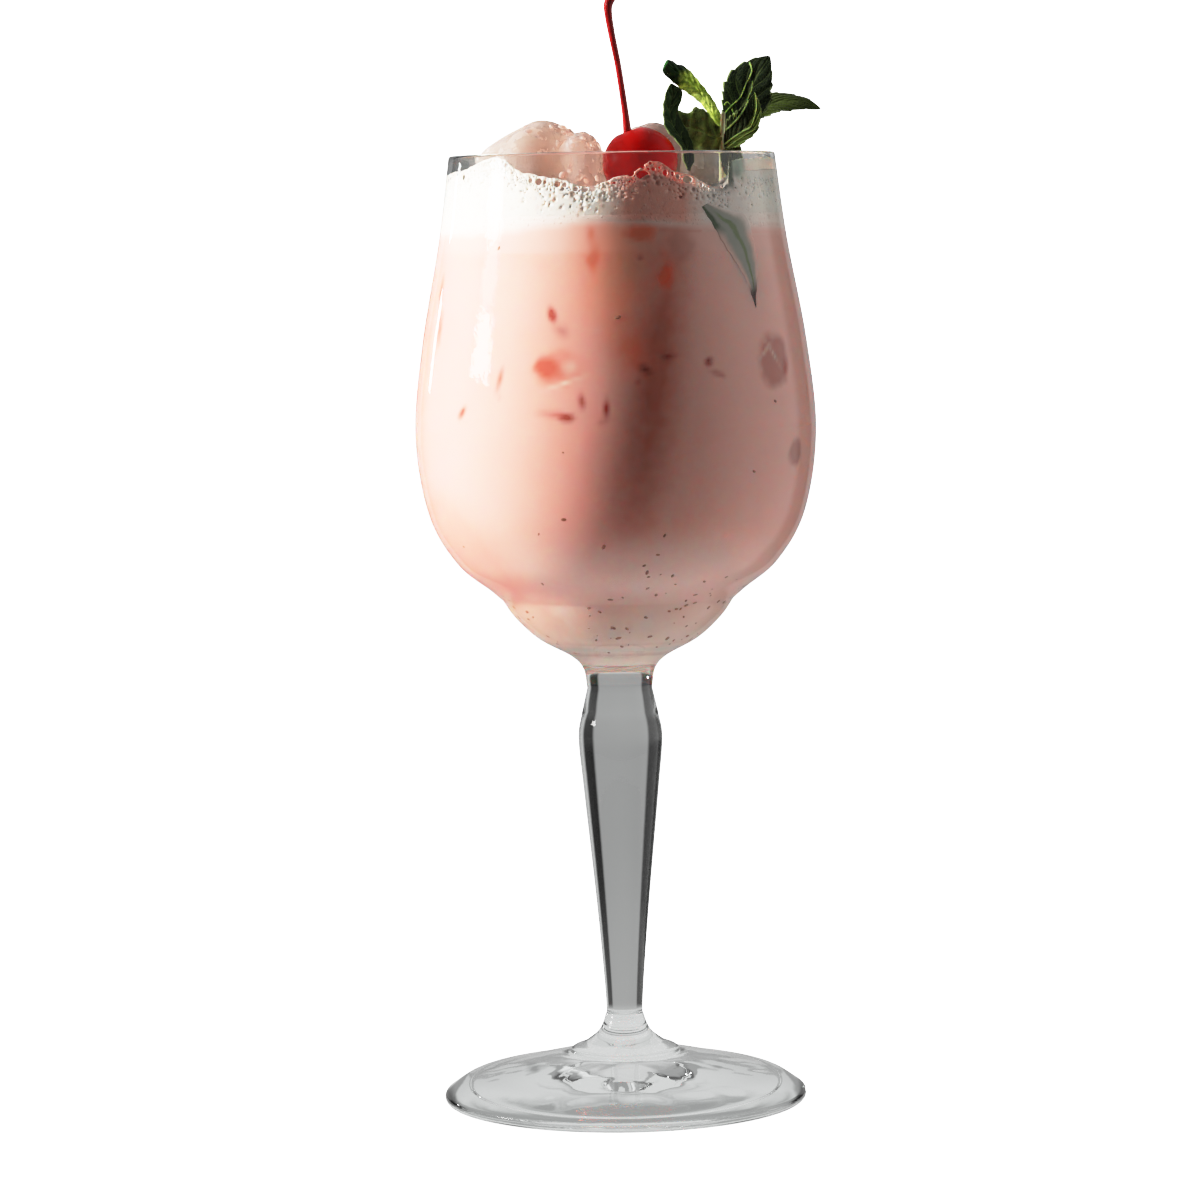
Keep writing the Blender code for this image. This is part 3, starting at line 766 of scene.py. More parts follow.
def evaluated(carrier, name):
    """The plain mesh that an object's modifiers make. The object and its own mesh go."""
    start = carrier.data
    bpy.context.view_layer.update()
    depsgraph = bpy.context.evaluated_depsgraph_get()
    mesh = bpy.data.meshes.new_from_object(
        carrier.evaluated_get(depsgraph), preserve_all_data_layers=True, depsgraph=depsgraph
    )
    bpy.data.objects.remove(carrier)
    bpy.data.meshes.remove(start)
    mesh.name = name
    return mesh


def grown(name, tree, start, **inputs):
    """The plain mesh that a node tree makes from a starting mesh, which goes."""
    carrier = add_object(name, start)
    grow = carrier.modifiers.new("Grow", "NODES")
    grow.node_group = tree
    for item in tree.interface.items_tree:
        key = item.name.lower()
        if item.item_type == "SOCKET" and item.in_out == "INPUT" and key in inputs:
            grow[item.identifier] = inputs[key]
    return evaluated(carrier, name)


def with_modifier(mesh, kind, **settings):
    """The mesh as one modifier leaves it. The mesh that it starts from goes."""
    carrier = add_object("carrier", mesh)
    change = carrier.modifiers.new(kind.title(), kind)
    for key, value in settings.items():
        setattr(change, key, value)
    return evaluated(carrier, mesh.name)


# ---------------- mesh tools


def turned(name, outline, segments, look):
    """A closed solid turned from an outline of (radius, height) whose ends lie on the axis."""
    start = bpy.data.meshes.new(name + "_profile")
    points = [(max(radius, 0.0), 0.0, height) for radius, height in outline]
    start.from_pydata(points, [(k, k + 1) for k in range(len(points) - 1)], [])
    return outward(grown(name, turning_tree(), start, segments=segments, finish=look))


def outward(mesh):
    """The mesh with doubled points merged, and its faces pointing out."""
    bm = bmesh.new()
    bm.from_mesh(mesh)
    bmesh.ops.remove_doubles(bm, verts=bm.verts, dist=1e-7)
    bmesh.ops.dissolve_degenerate(bm, edges=bm.edges, dist=1e-8)
    return written(bm, mesh)


def mesh_of(name, bm):
    """What was built, as a new mesh."""
    return written(bm, bpy.data.meshes.new(name))


def written(bm, mesh):
    """The mesh with what was built in it, its faces pointing out."""
    bmesh.ops.recalc_face_normals(bm, faces=bm.faces)
    bm.to_mesh(mesh)
    bm.free()
    return mesh


def steps_round(steps):
    """Angles at even steps round a ring."""
    return [math.tau * step / steps for step in range(steps)]


def bridge(bm, rings):
    """Faces between each ring of points and the next."""
    for ring, beyond in zip(rings, rings[1:]):
        for step in range(len(ring)):
            after = (step + 1) % len(ring)
            bm.faces.new((ring[step], beyond[step], beyond[after], ring[after]))


def cap(bm, ring, place):
    """Closes a ring with a fan of faces about a point."""
    hub = bm.verts.new(place)
    for step in range(len(ring)):
        bm.faces.new((hub, ring[step], ring[(step + 1) % len(ring)]))


def coordinates(mesh):
    """The points of a mesh, one row for each."""
    flat = np.empty(len(mesh.vertices) * 3)
    mesh.vertices.foreach_get("co", flat)
    return flat.reshape(-1, 3)


def move_points(mesh, places):
    """Moves the points of a mesh to these places."""
    mesh.vertices.foreach_set("co", np.asarray(places, float).ravel())
    mesh.update()


def bearings_of(places):
    """Bearings of places in degrees from +X."""
    return np.degrees(np.arctan2(places[:, 1], places[:, 0]))


def noise_at(places, size):
    """Soft noise with features of this size."""
    return np.array([noise.noise(Vector(place) / size) for place in places])


def ripple(x, y, size, level=0.0):
    """Soft noise over a level surface, from -1 to 1. Each level has a pattern of its own."""
    return noise.noise(Vector((x, y, level)) / size)


def add_piece(name, mesh, look, slot, *nodes):
    """A finished piece at the origin, riding with the glass, in the place of these CAD nodes."""
    piece = add_object(name, mesh)
    mesh.materials.clear()
    mesh.materials.append(look)
    mesh.shade_smooth()
    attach(piece, BODY)
    if nodes:
        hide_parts(*nodes)


def strew(name, ground, spread, look, slot, **grains):
    """Adds grains over a ground as one piece, thicker where the spread is high. The ground goes."""
    ground.attributes.new("spread", "FLOAT", "POINT").data.foreach_set("value", spread)
    mesh = grown(name, scatter_tree(), ground, finish=look, **grains)
    add_piece(name, mesh, look, slot)


def stalk_mesh(name, points, radii, around=16, per_span=8):
    """A tapered round stalk along a smooth curve, with rounded ends."""
    route = spaced(points, per_span)
    thick = np.interp(np.linspace(0, 1, len(route)), np.linspace(0, 1, len(radii)), radii)
    turns = steps_round(around)
    bm = bmesh.new()
    rings = []
    for index, place in enumerate(route):
        ahead = Vector(route[min(index + 1, len(route) - 1)]) - Vector(route[max(index - 1, 0)])
        ahead.normalize()
        across = Vector((0, 1, 0)).cross(ahead).normalized()
        up = ahead.cross(across)
        offsets = [across * math.cos(turn) + up * math.sin(turn) for turn in turns]
        rings.append([bm.verts.new(Vector(place) + offset * thick[index]) for offset in offsets])
    bridge(bm, rings)
    ahead = (Vector(route[-1]) - Vector(route[-2])).normalized()
    for end, away in ((0, -0.35), (-1, 0.35)):
        cap(bm, rings[end], Vector(route[end]) + ahead * thick[-1] * away)
    return mesh_of(name, bm)


# ---------------- glass

HOLLOW = 33.0 * MM  # radius of the hollow under the foot, which is rippled


def make_glass(settings):
    """The stemmed glass as one closed solid."""
    look = glass_finish(settings.glass.tint)
    middle = (RIM_RADIUS - RIM_WALL / 2, GLASS_HEIGHT - RIM_WALL / 2)
    rim = arc(middle, RIM_WALL / 2, 0.0, math.pi, 11)[1:-1]
    outline = np.vstack([foot_outline(), stem_outline(), bowl_outline(), rim, bowl_inside()[::-1]])
    mesh = turned("stemmed_glass", outline, settings.glass.segments, look)
    places = coordinates(mesh)
    radius = np.hypot(places[:, 0], places[:, 1])
    underside = (places[:, 2] < 2.2 * MM) & (radius < HOLLOW)
    for index in np.nonzero(underside)[0]:
        x, y, height = places[index]
        fade = min(1.0, (HOLLOW - radius[index]) / (4 * MM))
        wave = ripple(x, y, 5.5 * MM) + 0.5 * ripple(x, y, 2.4 * MM, 1.0)
        places[index, 2] = max(0.15 * MM, height + settings.glass.waviness * wave * fade)
    move_points(mesh, places)
    add_piece("stemmed_glass", mesh, look, "clear_glass", "glass")


# ---------------- drink and what shows in it

# Colours of what shows through the milk, and of light and shade painted on it
FLESH = (0.74, 0.14, 0.06)
DARK_FLESH = (0.40, 0.035, 0.02)
# Bright orange of fruit that light passes through, painted as a glow
FRUIT_AND_PAINTED_GLOW = (1.0, 0.26, 0.15)
RED_FLESH = (0.46, 0.07, 0.045)
# Dusky red-brown, also used for painted shadows and dark lines
DUSK_AND_PAINTED_SHADE = (0.42, 0.17, 0.13)
# Pale fruit edges, also used for painted highlight streaks
PALE_AND_PAINTED_HIGHLIGHT = (0.98, 0.78, 0.68)
# Painted glow: the orange of light wandering in the drink beside its shaded middle
PAINTED_WARM_GLOW = (1.0, 0.45, 0.32)
# Painted shade: the pinker, darker edge of the round bowl
PAINTED_LIMB_SHADE = (0.90, 0.36, 0.29)
# Red syrup that also darkens the drink's shaded middle: partly syrup, partly painted shade
SYRUP_AND_PAINTED_SHADE = (0.66, 0.19, 0.12)
ICE_IN_MILK = (0.62, 0.32, 0.27)
BETWEEN_MARKS = (0.94, 0.66, 0.58)

# Fruit, syrup and ice against the wall, and light and shade painted on the drink: bearing and height of the
# middle, width and height in mm, turn in degrees, colour, how strongly it shows through, and how soft its
# edge is in mm
SHOWING_AND_PAINTED_LIGHT = [
    # Painted shade, partly syrup: a dark red column down the drink's shaded middle
    (-77, 170, 10, 76, -8, SYRUP_AND_PAINTED_SHADE, 0.85, 7),
    # Painted glow: orange light where the lit side turns into shade
    (-90, 189, 17, 28, 0, PAINTED_WARM_GLOW, 1, 8),
    # Painted shade: a pinker, darker tone over the lit left side, holding back the key light's highlight
    # there
    (-128, 165, 50, 92, 0, (0.92, 0.475, 0.405), 0.65, 16),
    # Painted shade: a pinker, darker band down the bowl's left edge
    (-160, 165, 22, 80, 0, (0.90, 0.40, 0.35), 0.55, 9),
    (-80, 124, 70, 14, 0, (0.98, 0.72, 0.66), 0.6, 7),
    # Painted shade: pinker and darker low on the lit left, where the bowl turns down from the light, and a
    # darker band at its ledge
    (-160, 127, 40, 30, 0, (0.88, 0.34, 0.275), 0.6, 8),
    (-150, 112, 26, 12, 0, (0.60, 0.34, 0.27), 0.65, 4),
    # Painted shade: the pinker, darker edge of the bowl on the left
    (-170, 165, 16, 76, 0, PAINTED_LIMB_SHADE, 0.7, 8),
    # Painted lines low in the cup: a pale highlight line between two dark lines
    (-90, 104.3, 60, 0.5, 0, DUSK_AND_PAINTED_SHADE, 0.55, 0.5),
    (-90, 105.3, 60, 0.8, 0, (0.60, 0.60, 0.52), 0.5, 0.6),
    (-90, 106.5, 60, 0.4, 0, DUSK_AND_PAINTED_SHADE, 0.3, 0.5),
    (-107, 168.2, 11.4, 8.6, 8, (0.86, 0.36, 0.28), 0.85, 1.6),
    (-104.6, 165, 7.4, 0.9, 18, PALE_AND_PAINTED_HIGHLIGHT, 0.9, 0.8),
    (-102.6, 168.6, 3.6, 3, 24, PALE_AND_PAINTED_HIGHLIGHT, 0.5, 1.8),
    (-110.2, 168.5, 5.2, 5.2, 40, (0.64, 0.13, 0.085), 0.85, 1.7),
    (-107, 167.2, 3.6, 2.6, -20, (0.70, 0.20, 0.14), 0.6, 1.7),
    (-109.1, 179.8, 2, 3.6, 18, DARK_FLESH, 0.85, 1.1),
    # Painted shadow: a dusky smear beside the lump above
    (-106, 176.4, 3.4, 2.6, -30, DUSK_AND_PAINTED_SHADE, 0.55, 2),
    (-125.3, 165.8, 1.5, 5.2, -14, RED_FLESH, 0.75, 1.1),
    (-125.1, 161.9, 0.5, 0.6, 0, DARK_FLESH, 0.6, 1.6),
    (-139.3, 158.6, 1.9, 4.4, -42, RED_FLESH, 0.85, 1.1),
    (-107.4, 158.2, 6, 1.5, -8, RED_FLESH, 0.6, 1.6),
    (-103.8, 157.5, 3.4, 2.2, -12, DARK_FLESH, 0.75, 1.1),
    (-99.6, 161.2, 1.8, 3.8, 6, DARK_FLESH, 0.8, 1.1),
    (-92.6, 159.3, 1.3, 4.2, 0, (0.42, 0.02, 0.01), 1, 1.1),
    (-93.9, 156.6, 1.3, 1, 30, DARK_FLESH, 0.5, 1.6),
    (-159.7, 185, 2, 5.6, 6, RED_FLESH, 0.8, 1.6),
    (-156, 176.5, 2, 6.4, 4, RED_FLESH, 0.7, 1.8),
    (-132.2, 181, 1.6, 2.2, 10, RED_FLESH, 0.5, 1.8),
    (-97.3, 197.2, 2.1, 4.8, 5, FLESH, 0.6, 1.6),
    (-96.5, 191.8, 2.5, 6.2, -6, FLESH, 0.65, 1.6),
    # Painted glow: bright orange spots where light passes through fruit in the drink's shaded middle
    (-80.9, 197.4, 6.8, 4.6, -3, FRUIT_AND_PAINTED_GLOW, 1, 1.6),
    (-81.3, 191.8, 1, 0.6, 0, DARK_FLESH, 0.9, 1),
    (-73.4, 187.8, 3.4, 5, -12, (1, 0.14, 0.05), 1, 1.6),
    (-75, 189.5, 7, 9, 0, FRUIT_AND_PAINTED_GLOW, 0.2, 4),
    (-67.2, 194.2, 6.4, 6.6, 20, DUSK_AND_PAINTED_SHADE, 0.30, 2),
    (-72.5, 200, 1.5, 3.4, 0, FLESH, 0.5, 1.6),
    # Painted glow: a broad orange patch in the drink's shaded middle
    (-85, 172, 8, 12, 20, (1, 0.30, 0.17), 0.6, 5),
    (-74.3, 170.4, 2.8, 1.5, -6, (0.34, 0.02, 0.012), 0.9, 1.1),
    (-80.9, 167.6, 2.8, 1.5, -38, (0.34, 0.02, 0.012), 0.9, 1.1),
    (-83.5, 165.2, 0.6, 0.7, 0, DARK_FLESH, 0.7, 1.6),
    (-61.7, 169.1, 2.2, 1.9, 20, DARK_FLESH, 0.75, 1.1),
    (-59, 166.4, 3.6, 1.2, -18, DARK_FLESH, 0.6, 1.1),
    (-47, 195, 7, 20, 32, (0.62, 0.48, 0.42), 0.45, 3.5),
    (-35.6, 168.8, 10.4, 12.6, -25, (0.56, 0.20, 0.155), 0.85, 2.2),
    # Painted highlights: two pale streaks across the ice chunk
    (-39.5, 170.9, 5, 0.7, 35, PALE_AND_PAINTED_HIGHLIGHT, 0.75, 0.8),
    (-35.8, 170.2, 5.4, 0.7, -52, PALE_AND_PAINTED_HIGHLIGHT, 0.75, 0.8),
    (-30, 166.9, 2.2, 4.4, -10, RED_FLESH, 0.8, 1.8),
    (-26.7, 148.3, 6.4, 6, 30, (0.46, 0.19, 0.15), 0.8, 1.6),
    (20, 172, 6, 5, 10, FLESH, 0.6, 1.1),
    (48, 186, 3, 4.4, -20, FRUIT_AND_PAINTED_GLOW, 0.6, 1.1),
    (75, 163, 5, 3.6, 15, FLESH, 0.7, 1.1),
    (97, 180, 2, 4, 0, DARK_FLESH, 0.6, 1.1),
    (118, 169, 7, 6, 20, ICE_IN_MILK, 0.5, 1.6),
    (136, 190, 2.4, 4.6, 10, FRUIT_AND_PAINTED_GLOW, 0.6, 1.1),
    (152, 160, 3.4, 2.2, -15, FLESH, 0.6, 1.1),
    (168, 176, 1.6, 3.6, 5, DARK_FLESH, 0.6, 1.1),
]
LUMP_EDGE = 1.5  # what has a sharper edge than this is also a lump of its own
BLEND = 8.0 * MM  # depth in which the drink's level rows of points come to follow its line


def paint_marks(mesh, marks):
    """Stores at each point the colour that shows through there, and how strongly."""
    places = coordinates(mesh)
    bearings = bearings_of(places)
    radius = np.hypot(places[:, 0], places[:, 1])
    ragged = noise_at(places, 2.2 * MM)
    tones, strengths = np.zeros((len(places), 3)), np.zeros((len(places), 1))
    for at, height, width, tall, lean, tone, strength, soft in marks:
        across = np.radians((bearings - at + 180) % 360 - 180) * radius / MM
        up = places[:, 2] / MM - height
        c, s = math.cos(math.radians(lean)), math.sin(math.radians(lean))
        reach = np.hypot((across * c + up * s) / (width / 2), (up * c - across * s) / (tall / 2))
        blur = soft / min(width, tall)
        uneven = 0.35 * min(1.0, 4.0 / min(width, tall)) * ragged
        share = np.clip((1.0 + blur + uneven - reach) / (2 * blur), 0, 1) ** 1.5 * strength
        share = share[:, None]
        tones = tones * (1 - share) + np.array(tone) * share
        strengths = strengths * (1 - share) + share
    seen = tones / np.maximum(strengths, 1e-6)
    tones = np.where(strengths > 1e-5, seen, np.array(BETWEEN_MARKS))
    layer = mesh.attributes.new("fruit", "FLOAT_COLOR", "POINT")
    layer.data.foreach_set("color", np.hstack([tones, strengths]).ravel())


def blend_to_froth(mesh, settings, depth):
    """Turns the colour half way to its neighbour's over this depth from the line where they meet."""
    places = coordinates(mesh)
    lines = np.array([along_line(DRINK_LINE, bearing) for bearing in bearings_of(places)])
    ragged = noise_at(places, 3.0 * MM)
    share = np.clip(1 - (places[:, 2] - lines) / depth + 0.3 * ragged, 0, 1) ** 1.5
    share *= np.hypot(places[:, 0], places[:, 1]) > 0.9 * RIM_RADIUS
    share = share[:, None]
    shown = np.empty(len(places) * 4)
    layer = mesh.attributes["fruit"]
    layer.data.foreach_get("color", shown)
    shown = shown.reshape(-1, 4)
    milk, cream = np.array(settings.drink.milk), np.array(settings.froth.cream)
    own = milk if depth < 0 else cream
    under = own + (shown[:, :3] - own) * shown[:, 3:]
    shown[:, :3] = np.where(share > 0, under + ((milk + cream) / 2 - under) * share, shown[:, :3])
    shown[:, 3:] = np.where(share > 0, 1.0, shown[:, 3:])
    layer.data.foreach_set("color", shown.ravel())


def behind(height, line):
    """How far a skin draws back from the wall above a line or, with the two swapped, below it."""
    return 0.055 * max(height - line + 0.5 * MM, 0.0)


def make_drink(settings):
    """The drink against the wall up to its line, with a core that rises inside the froth."""
    look = drink_finish(settings.drink)
    skin = bowl_inside(-INTO_WALL)
    top = max(height for _, height in DRINK_LINE) * MM + OVERLAP
    bottom = top - BLEND
    side = skin[skin[:, 1] < top]
    fine_side = np.array([side[0]])
    for start, end in zip(side, side[1:]):
        steps = max(1, int(np.linalg.norm(end - start) / (0.62 * MM)))
        shares = np.linspace(0, 1, steps + 1)[1:, None]
        fine_side = np.vstack([fine_side, start + (end - start) * shares])
    edge = np.interp(top, skin[:, 1], skin[:, 0])
    summit = top + 5 * MM
    core = [(edge - 1.2 * MM, top + 0.4 * MM), (edge - 2.2 * MM, top + 4.5 * MM), (edge * 0.5, summit)]
    outline = np.vstack([fine_side, [(edge, top), *core, (0, summit)]])
    mesh = turned("drink_body", outline, 420, look)
    places = coordinates(mesh)
    bearings = bearings_of(places)
    upper = (places[:, 2] > bottom) & (places[:, 2] < top + 0.1 * MM)
    for index in np.nonzero(upper)[0]:
        line = along_line(DRINK_LINE, bearings[index]) + OVERLAP
        share = (places[index, 2] - bottom) / BLEND
        height = bottom + (line - top + BLEND) * share
        old = np.interp(places[index, 2], skin[:, 1], skin[:, 0])
        new = np.interp(height, skin[:, 1], skin[:, 0]) - behind(height, line - OVERLAP)
        places[index, :2] *= new / old
        places[index, 2] = height
    move_points(mesh, places)
    paint_marks(mesh, SHOWING_AND_PAINTED_LIGHT)
    blend_to_froth(mesh, settings, -1.6 * MM)
    add_piece("drink_body", mesh, look, "strawberry_colada", "drink")


def make_fruit_bits(settings):
    """Lumps of strawberry against the wall, each flat where it touches the glass."""
    look = fruit_finish()
    bm = bmesh.new()
    tones = bm.verts.layers.float_color.new("fruit")
    for index, (at, height, width, tall, lean, tone, _, soft) in enumerate(SHOWING_AND_PAINTED_LIGHT):
        # The two painted highlight streaks on the ice chunk pass this test too, and become pale lumps
        if soft > LUMP_EDGE or width > 4 * max(tall, 1.5):
            continue
        middle = on_wall(at, height * MM, 0.5 * MM)
        out = Vector((middle.x, middle.y, 0)).normalized()
        across, up = Vector((-out.y, out.x, 0)), Vector((0, 0, 1))
        c, s = math.cos(math.radians(lean)), math.sin(math.radians(lean))
        for vert in bmesh.ops.create_icosphere(bm, subdivisions=4, radius=1.0)["verts"]:
            way = vert.co.copy()
            uneven = 1 + 0.38 * noise.noise(way * 1.3 + Vector((index * 3.1, 0, 0)))
            uneven += 0.14 * noise.noise(way * 4.2 + Vector((0, index * 2.3, 0)))
            x, z = way.x * uneven * width * 0.4 * MM, way.z * uneven * tall * 0.4 * MM
            y = way.y * min(width, tall) * 0.3 * MM
            vert.co = middle + across * (x * c - z * s) + up * (x * s + z * c) + out * y
            limit = wall_radius(vert.co.z) + INTO_WALL * 1.6
            reach = math.hypot(vert.co.x, vert.co.y)
            if reach > limit:
                vert.co.x *= limit / reach
                vert.co.y *= limit / reach
            vert[tones] = (*tone, 1.0)
    add_piece("strawberry_bits", mesh_of("strawberry_bits", bm), look, "strawberry_colada")


def make_seeds(settings):
    """Seeds against the wall, most of them sunk low and to the right."""
    look = seed_finish()
    skin = bowl_inside(-INTO_WALL * 0.5)
    side = skin[(skin[:, 1] > 104.5 * MM) & (skin[:, 1] < 196 * MM)]
    shell = turned("seed_ground", np.vstack([[(0, side[0, 1])], side]), 96, look)
    places = coordinates(shell)
    low = np.exp(-(((places[:, 2] / MM - 112) / 13) ** 2)) + 0.02
    right = 0.55 + 0.45 * np.cos(np.radians(bearings_of(places) + 62))
    spread = low * right * np.clip(0.6 + 1.6 * noise_at(places, 8 * MM), 0, 1.6)
    strew(
        "strawberry_seeds", shell, spread, look, "strawberry_colada",
        density=settings.drink.seed_count, smallest=0.16 * MM, largest=0.48 * MM,
        stretch=(1.7, 1.0, 0.55), draw=settings.drink.seed_draw,
    )


# ---------------- froth

# Marks on the froth, listed in the same way as the drink's; the red one on its shaded side is a painted glow
FROTH_MARKS_AND_PAINTED_GLOW = [
    (-48, 204, 14, 18, 0, (0.78, 0.68, 0.63), 0.7, 6),
    (-40.8, 212, 4.8, 8, 12, (0.42, 0.52, 0.40), 0.85, 1.8),
    (-41.2, 210.4, 1.6, 3.4, -12, (0.28, 0.30, 0.26), 0.8, 1.2),
    (-45, 210.2, 2.4, 7.4, 0, (0.12, 0.14, 0.09), 1, 0.8),
    (-48.6, 207.2, 6.4, 2.2, 0, (0.22, 0.21, 0.18), 0.9, 0.8),
    # Painted glow: red light wandering into the froth on its shaded side
    (-75, 203.5, 19, 30, -4, (0.97, 0.47, 0.38), 1, 6.1),
    (60, 204, 14, 12, 0, (0.90, 0.68, 0.60), 0.5, 6),
]


def froth_height(x, y):
    """Top of the froth: lumpy in the middle, and climbing a little at the wall."""
    radius = math.hypot(x, y)
    edge = along_line(FROTH_LINE, math.degrees(math.atan2(y, x))) - 2.2 * MM
    near_wall = math.exp(-(wall_radius(FOAM_LEVEL) - radius) / (3.5 * MM))
    lumps = ripple(x, y, 7 * MM) * 0.8 * MM
    fine = ripple(x, y, 1.6 * MM) * 0.22 * MM
    climb = max(edge - FOAM_LEVEL, -1.0 * MM) * near_wall
    return FOAM_LEVEL + lumps * (1 - near_wall) + fine + climb


def froth_rings(bm, shares, turns):
    """Rings of points over the top of the froth, at these shares of the way to the wall."""
    rings = []
    for share in shares:
        reach = share * (wall_radius(FOAM_LEVEL) - LACE_DEPTH)
        spots = [(reach * math.cos(turn), reach * math.sin(turn)) for turn in turns]
        rings.append([bm.verts.new((x, y, froth_height(x, y))) for x, y in spots])
    return rings


def make_froth(settings):
    """The froth: its lumpy top, its side down to the drink's line, and its underside."""
    look = froth_finish(settings.froth, "Pale pink froth")
    bm = bmesh.new()
    turns = steps_round(256)
    rings = froth_rings(bm, np.linspace(0.04, 1.0, 46), turns)
    rim = rings[-1]
    for drop in np.linspace(0.08, 1.0, 16):
        ring = []
        for turn, top in zip(turns, rim):
            line = along_line(DRINK_LINE, math.degrees(math.atan2(math.sin(turn), math.cos(turn))))
            height = top.co.z + (line - OVERLAP - top.co.z) * drop
            above = max(height - LACE_FOOT, 0.0)
            drawn_back = min(0.055 * above + 150 * above**2, LACE_DEPTH + INTO_WALL)
            reach = wall_radius(height) + INTO_WALL * 1.2 - drawn_back
            reach -= behind(line, height)
            ring.append(bm.verts.new((reach * math.cos(turn), reach * math.sin(turn), height)))
        rings.append(ring)
    foot = rings[-1]
    for inwards, drop in ((0.965, 0.5), (0.93, 6.0), (0.6, 10.0)):
        places = [(v.co.x * inwards, v.co.y * inwards, v.co.z - drop * MM) for v in foot]
        rings.append([bm.verts.new(place) for place in places])
    bridge(bm, rings)
    cap(bm, rings[0], (0, 0, froth_height(0, 0)))
    cap(bm, rings[-1], (0, 0, 188.0 * MM))
    mesh = mesh_of("froth_body", bm)
    paint_marks(mesh, FROTH_MARKS_AND_PAINTED_GLOW)
    blend_to_froth(mesh, settings, 1.1 * MM)
    add_piece("froth_body", mesh, look, "pink_foam", "foam")


# The largest open bubbles of the lace: bearing, height in mm, radii across and up in mm
OPEN_BUBBLES = [
    (-83.6, 210.2, 0.85, 0.8), (-79.4, 209.7, 1.45, 1.0), (-79.3, 211.5, 0.55, 0.5),
    (-81.1, 212.0, 0.42, 0.5), (-78.6, 212.4, 0.36, 0.4), (-76.6, 212.2, 0.4, 0.45),
    (-75.6, 211.0, 0.5, 0.45), (-77.3, 211.0, 0.36, 0.36), (-75.2, 209.0, 0.45, 0.4),
    (-71.4, 210.1, 0.6, 0.7), (-66.8, 209.3, 0.55, 0.5), (-63.2, 208.6, 1.2, 0.75),
    (-99.3, 206.7, 0.75, 0.55), (-96.5, 206.9, 0.7, 0.6), (-102.4, 206.9, 0.55, 0.5),
    (-115.8, 208.6, 0.8, 0.75), (-119.0, 208.9, 0.5, 0.6), (-108.9, 208.0, 0.75, 0.7),
    (-107.0, 206.9, 0.45, 0.45), (-58.0, 207.4, 0.5, 0.45), (-61.4, 206.4, 0.45, 0.4),
    (-89.3, 208.0, 0.45, 0.4), (-53.6, 205.0, 0.45, 0.4), (-66.5, 204.8, 0.42, 0.35),
]


OPEN_LARGE = 30  # one hole in this many is large
CLOSED_FILM = 44.0  # within this bearing of +X, the film above CLOSED_FROM has no holes
CLOSED_FROM = 209.0 * MM
FINE_FROTH = (-50.0, 0.0)  # between these bearings holes are fewer, and none is large
SEAM = 178.5  # past this bearing, where the sheet's ends meet, there are no holes
FILM = 0.07 * MM  # least film between two holes


def lace_holes(froth, girth):
    """Circles (place along the wall, height, radii) that don't touch, large ones first."""
    draw = random.Random(froth.draw)
    holes = [(math.radians(at) * girth, *(size * MM for size in sizes)) for at, *sizes in OPEN_BUBBLES]
    cell = 1.5 * MM
    taken = {}

    def claim(hole):
        taken.setdefault((int(hole[0] // cell), int(hole[1] // cell)), []).append(hole)

    def clear_of(hole, other):
        apart = math.hypot(hole[0] - other[0], hole[1] - other[1])
        return apart > max(hole[2:]) + max(other[2:]) + FILM

    for hole in holes:
        claim(hole)
    for index in range(froth.bubble_count):
        large = index < froth.bubble_count // OPEN_LARGE
        size = draw.uniform(0.28, 0.62) * MM if large else draw.triangular(0.08, 0.25, 0.12) * MM
        bearing = draw.uniform(-180, 180)
        top = along_line(FROTH_LINE, bearing) - size - 0.14 * MM
        if abs(bearing) < CLOSED_FILM:
            top = min(top, CLOSED_FROM)
        below = abs(draw.gauss(0, 0.9 * MM if large else 2.1 * MM))
        if FINE_FROTH[0] < bearing < FINE_FROTH[1] and (large or index % 3):
            continue
        hole = (math.radians(bearing) * girth, top - below, size, size * draw.uniform(0.8, 1.15))
        if hole[1] < LACE_FOOT + 0.6 * MM or abs(bearing) > SEAM:
            continue
        column, row = int(hole[0] // cell), int(hole[1] // cell)
        cells = [(column + i, row + j) for i in (-1, 0, 1) for j in (-1, 0, 1)]
        if all(clear_of(hole, other) for spot in cells for other in taken.get(spot, ())):
            holes.append(hole)
            claim(hole)
    return holes


def lace_point(along, height, girth):
    """A point of the lace's middle surface, by its distance along the wall from +X and its height.
    It reaches into the wall, and draws back from it below the lace's foot."""
    turn = along / girth
    reach = wall_radius(height) + INTO_WALL - LACE_DEPTH / 2 - behind(LACE_FOOT, height)
    return (reach * math.cos(turn), reach * math.sin(turn), height)


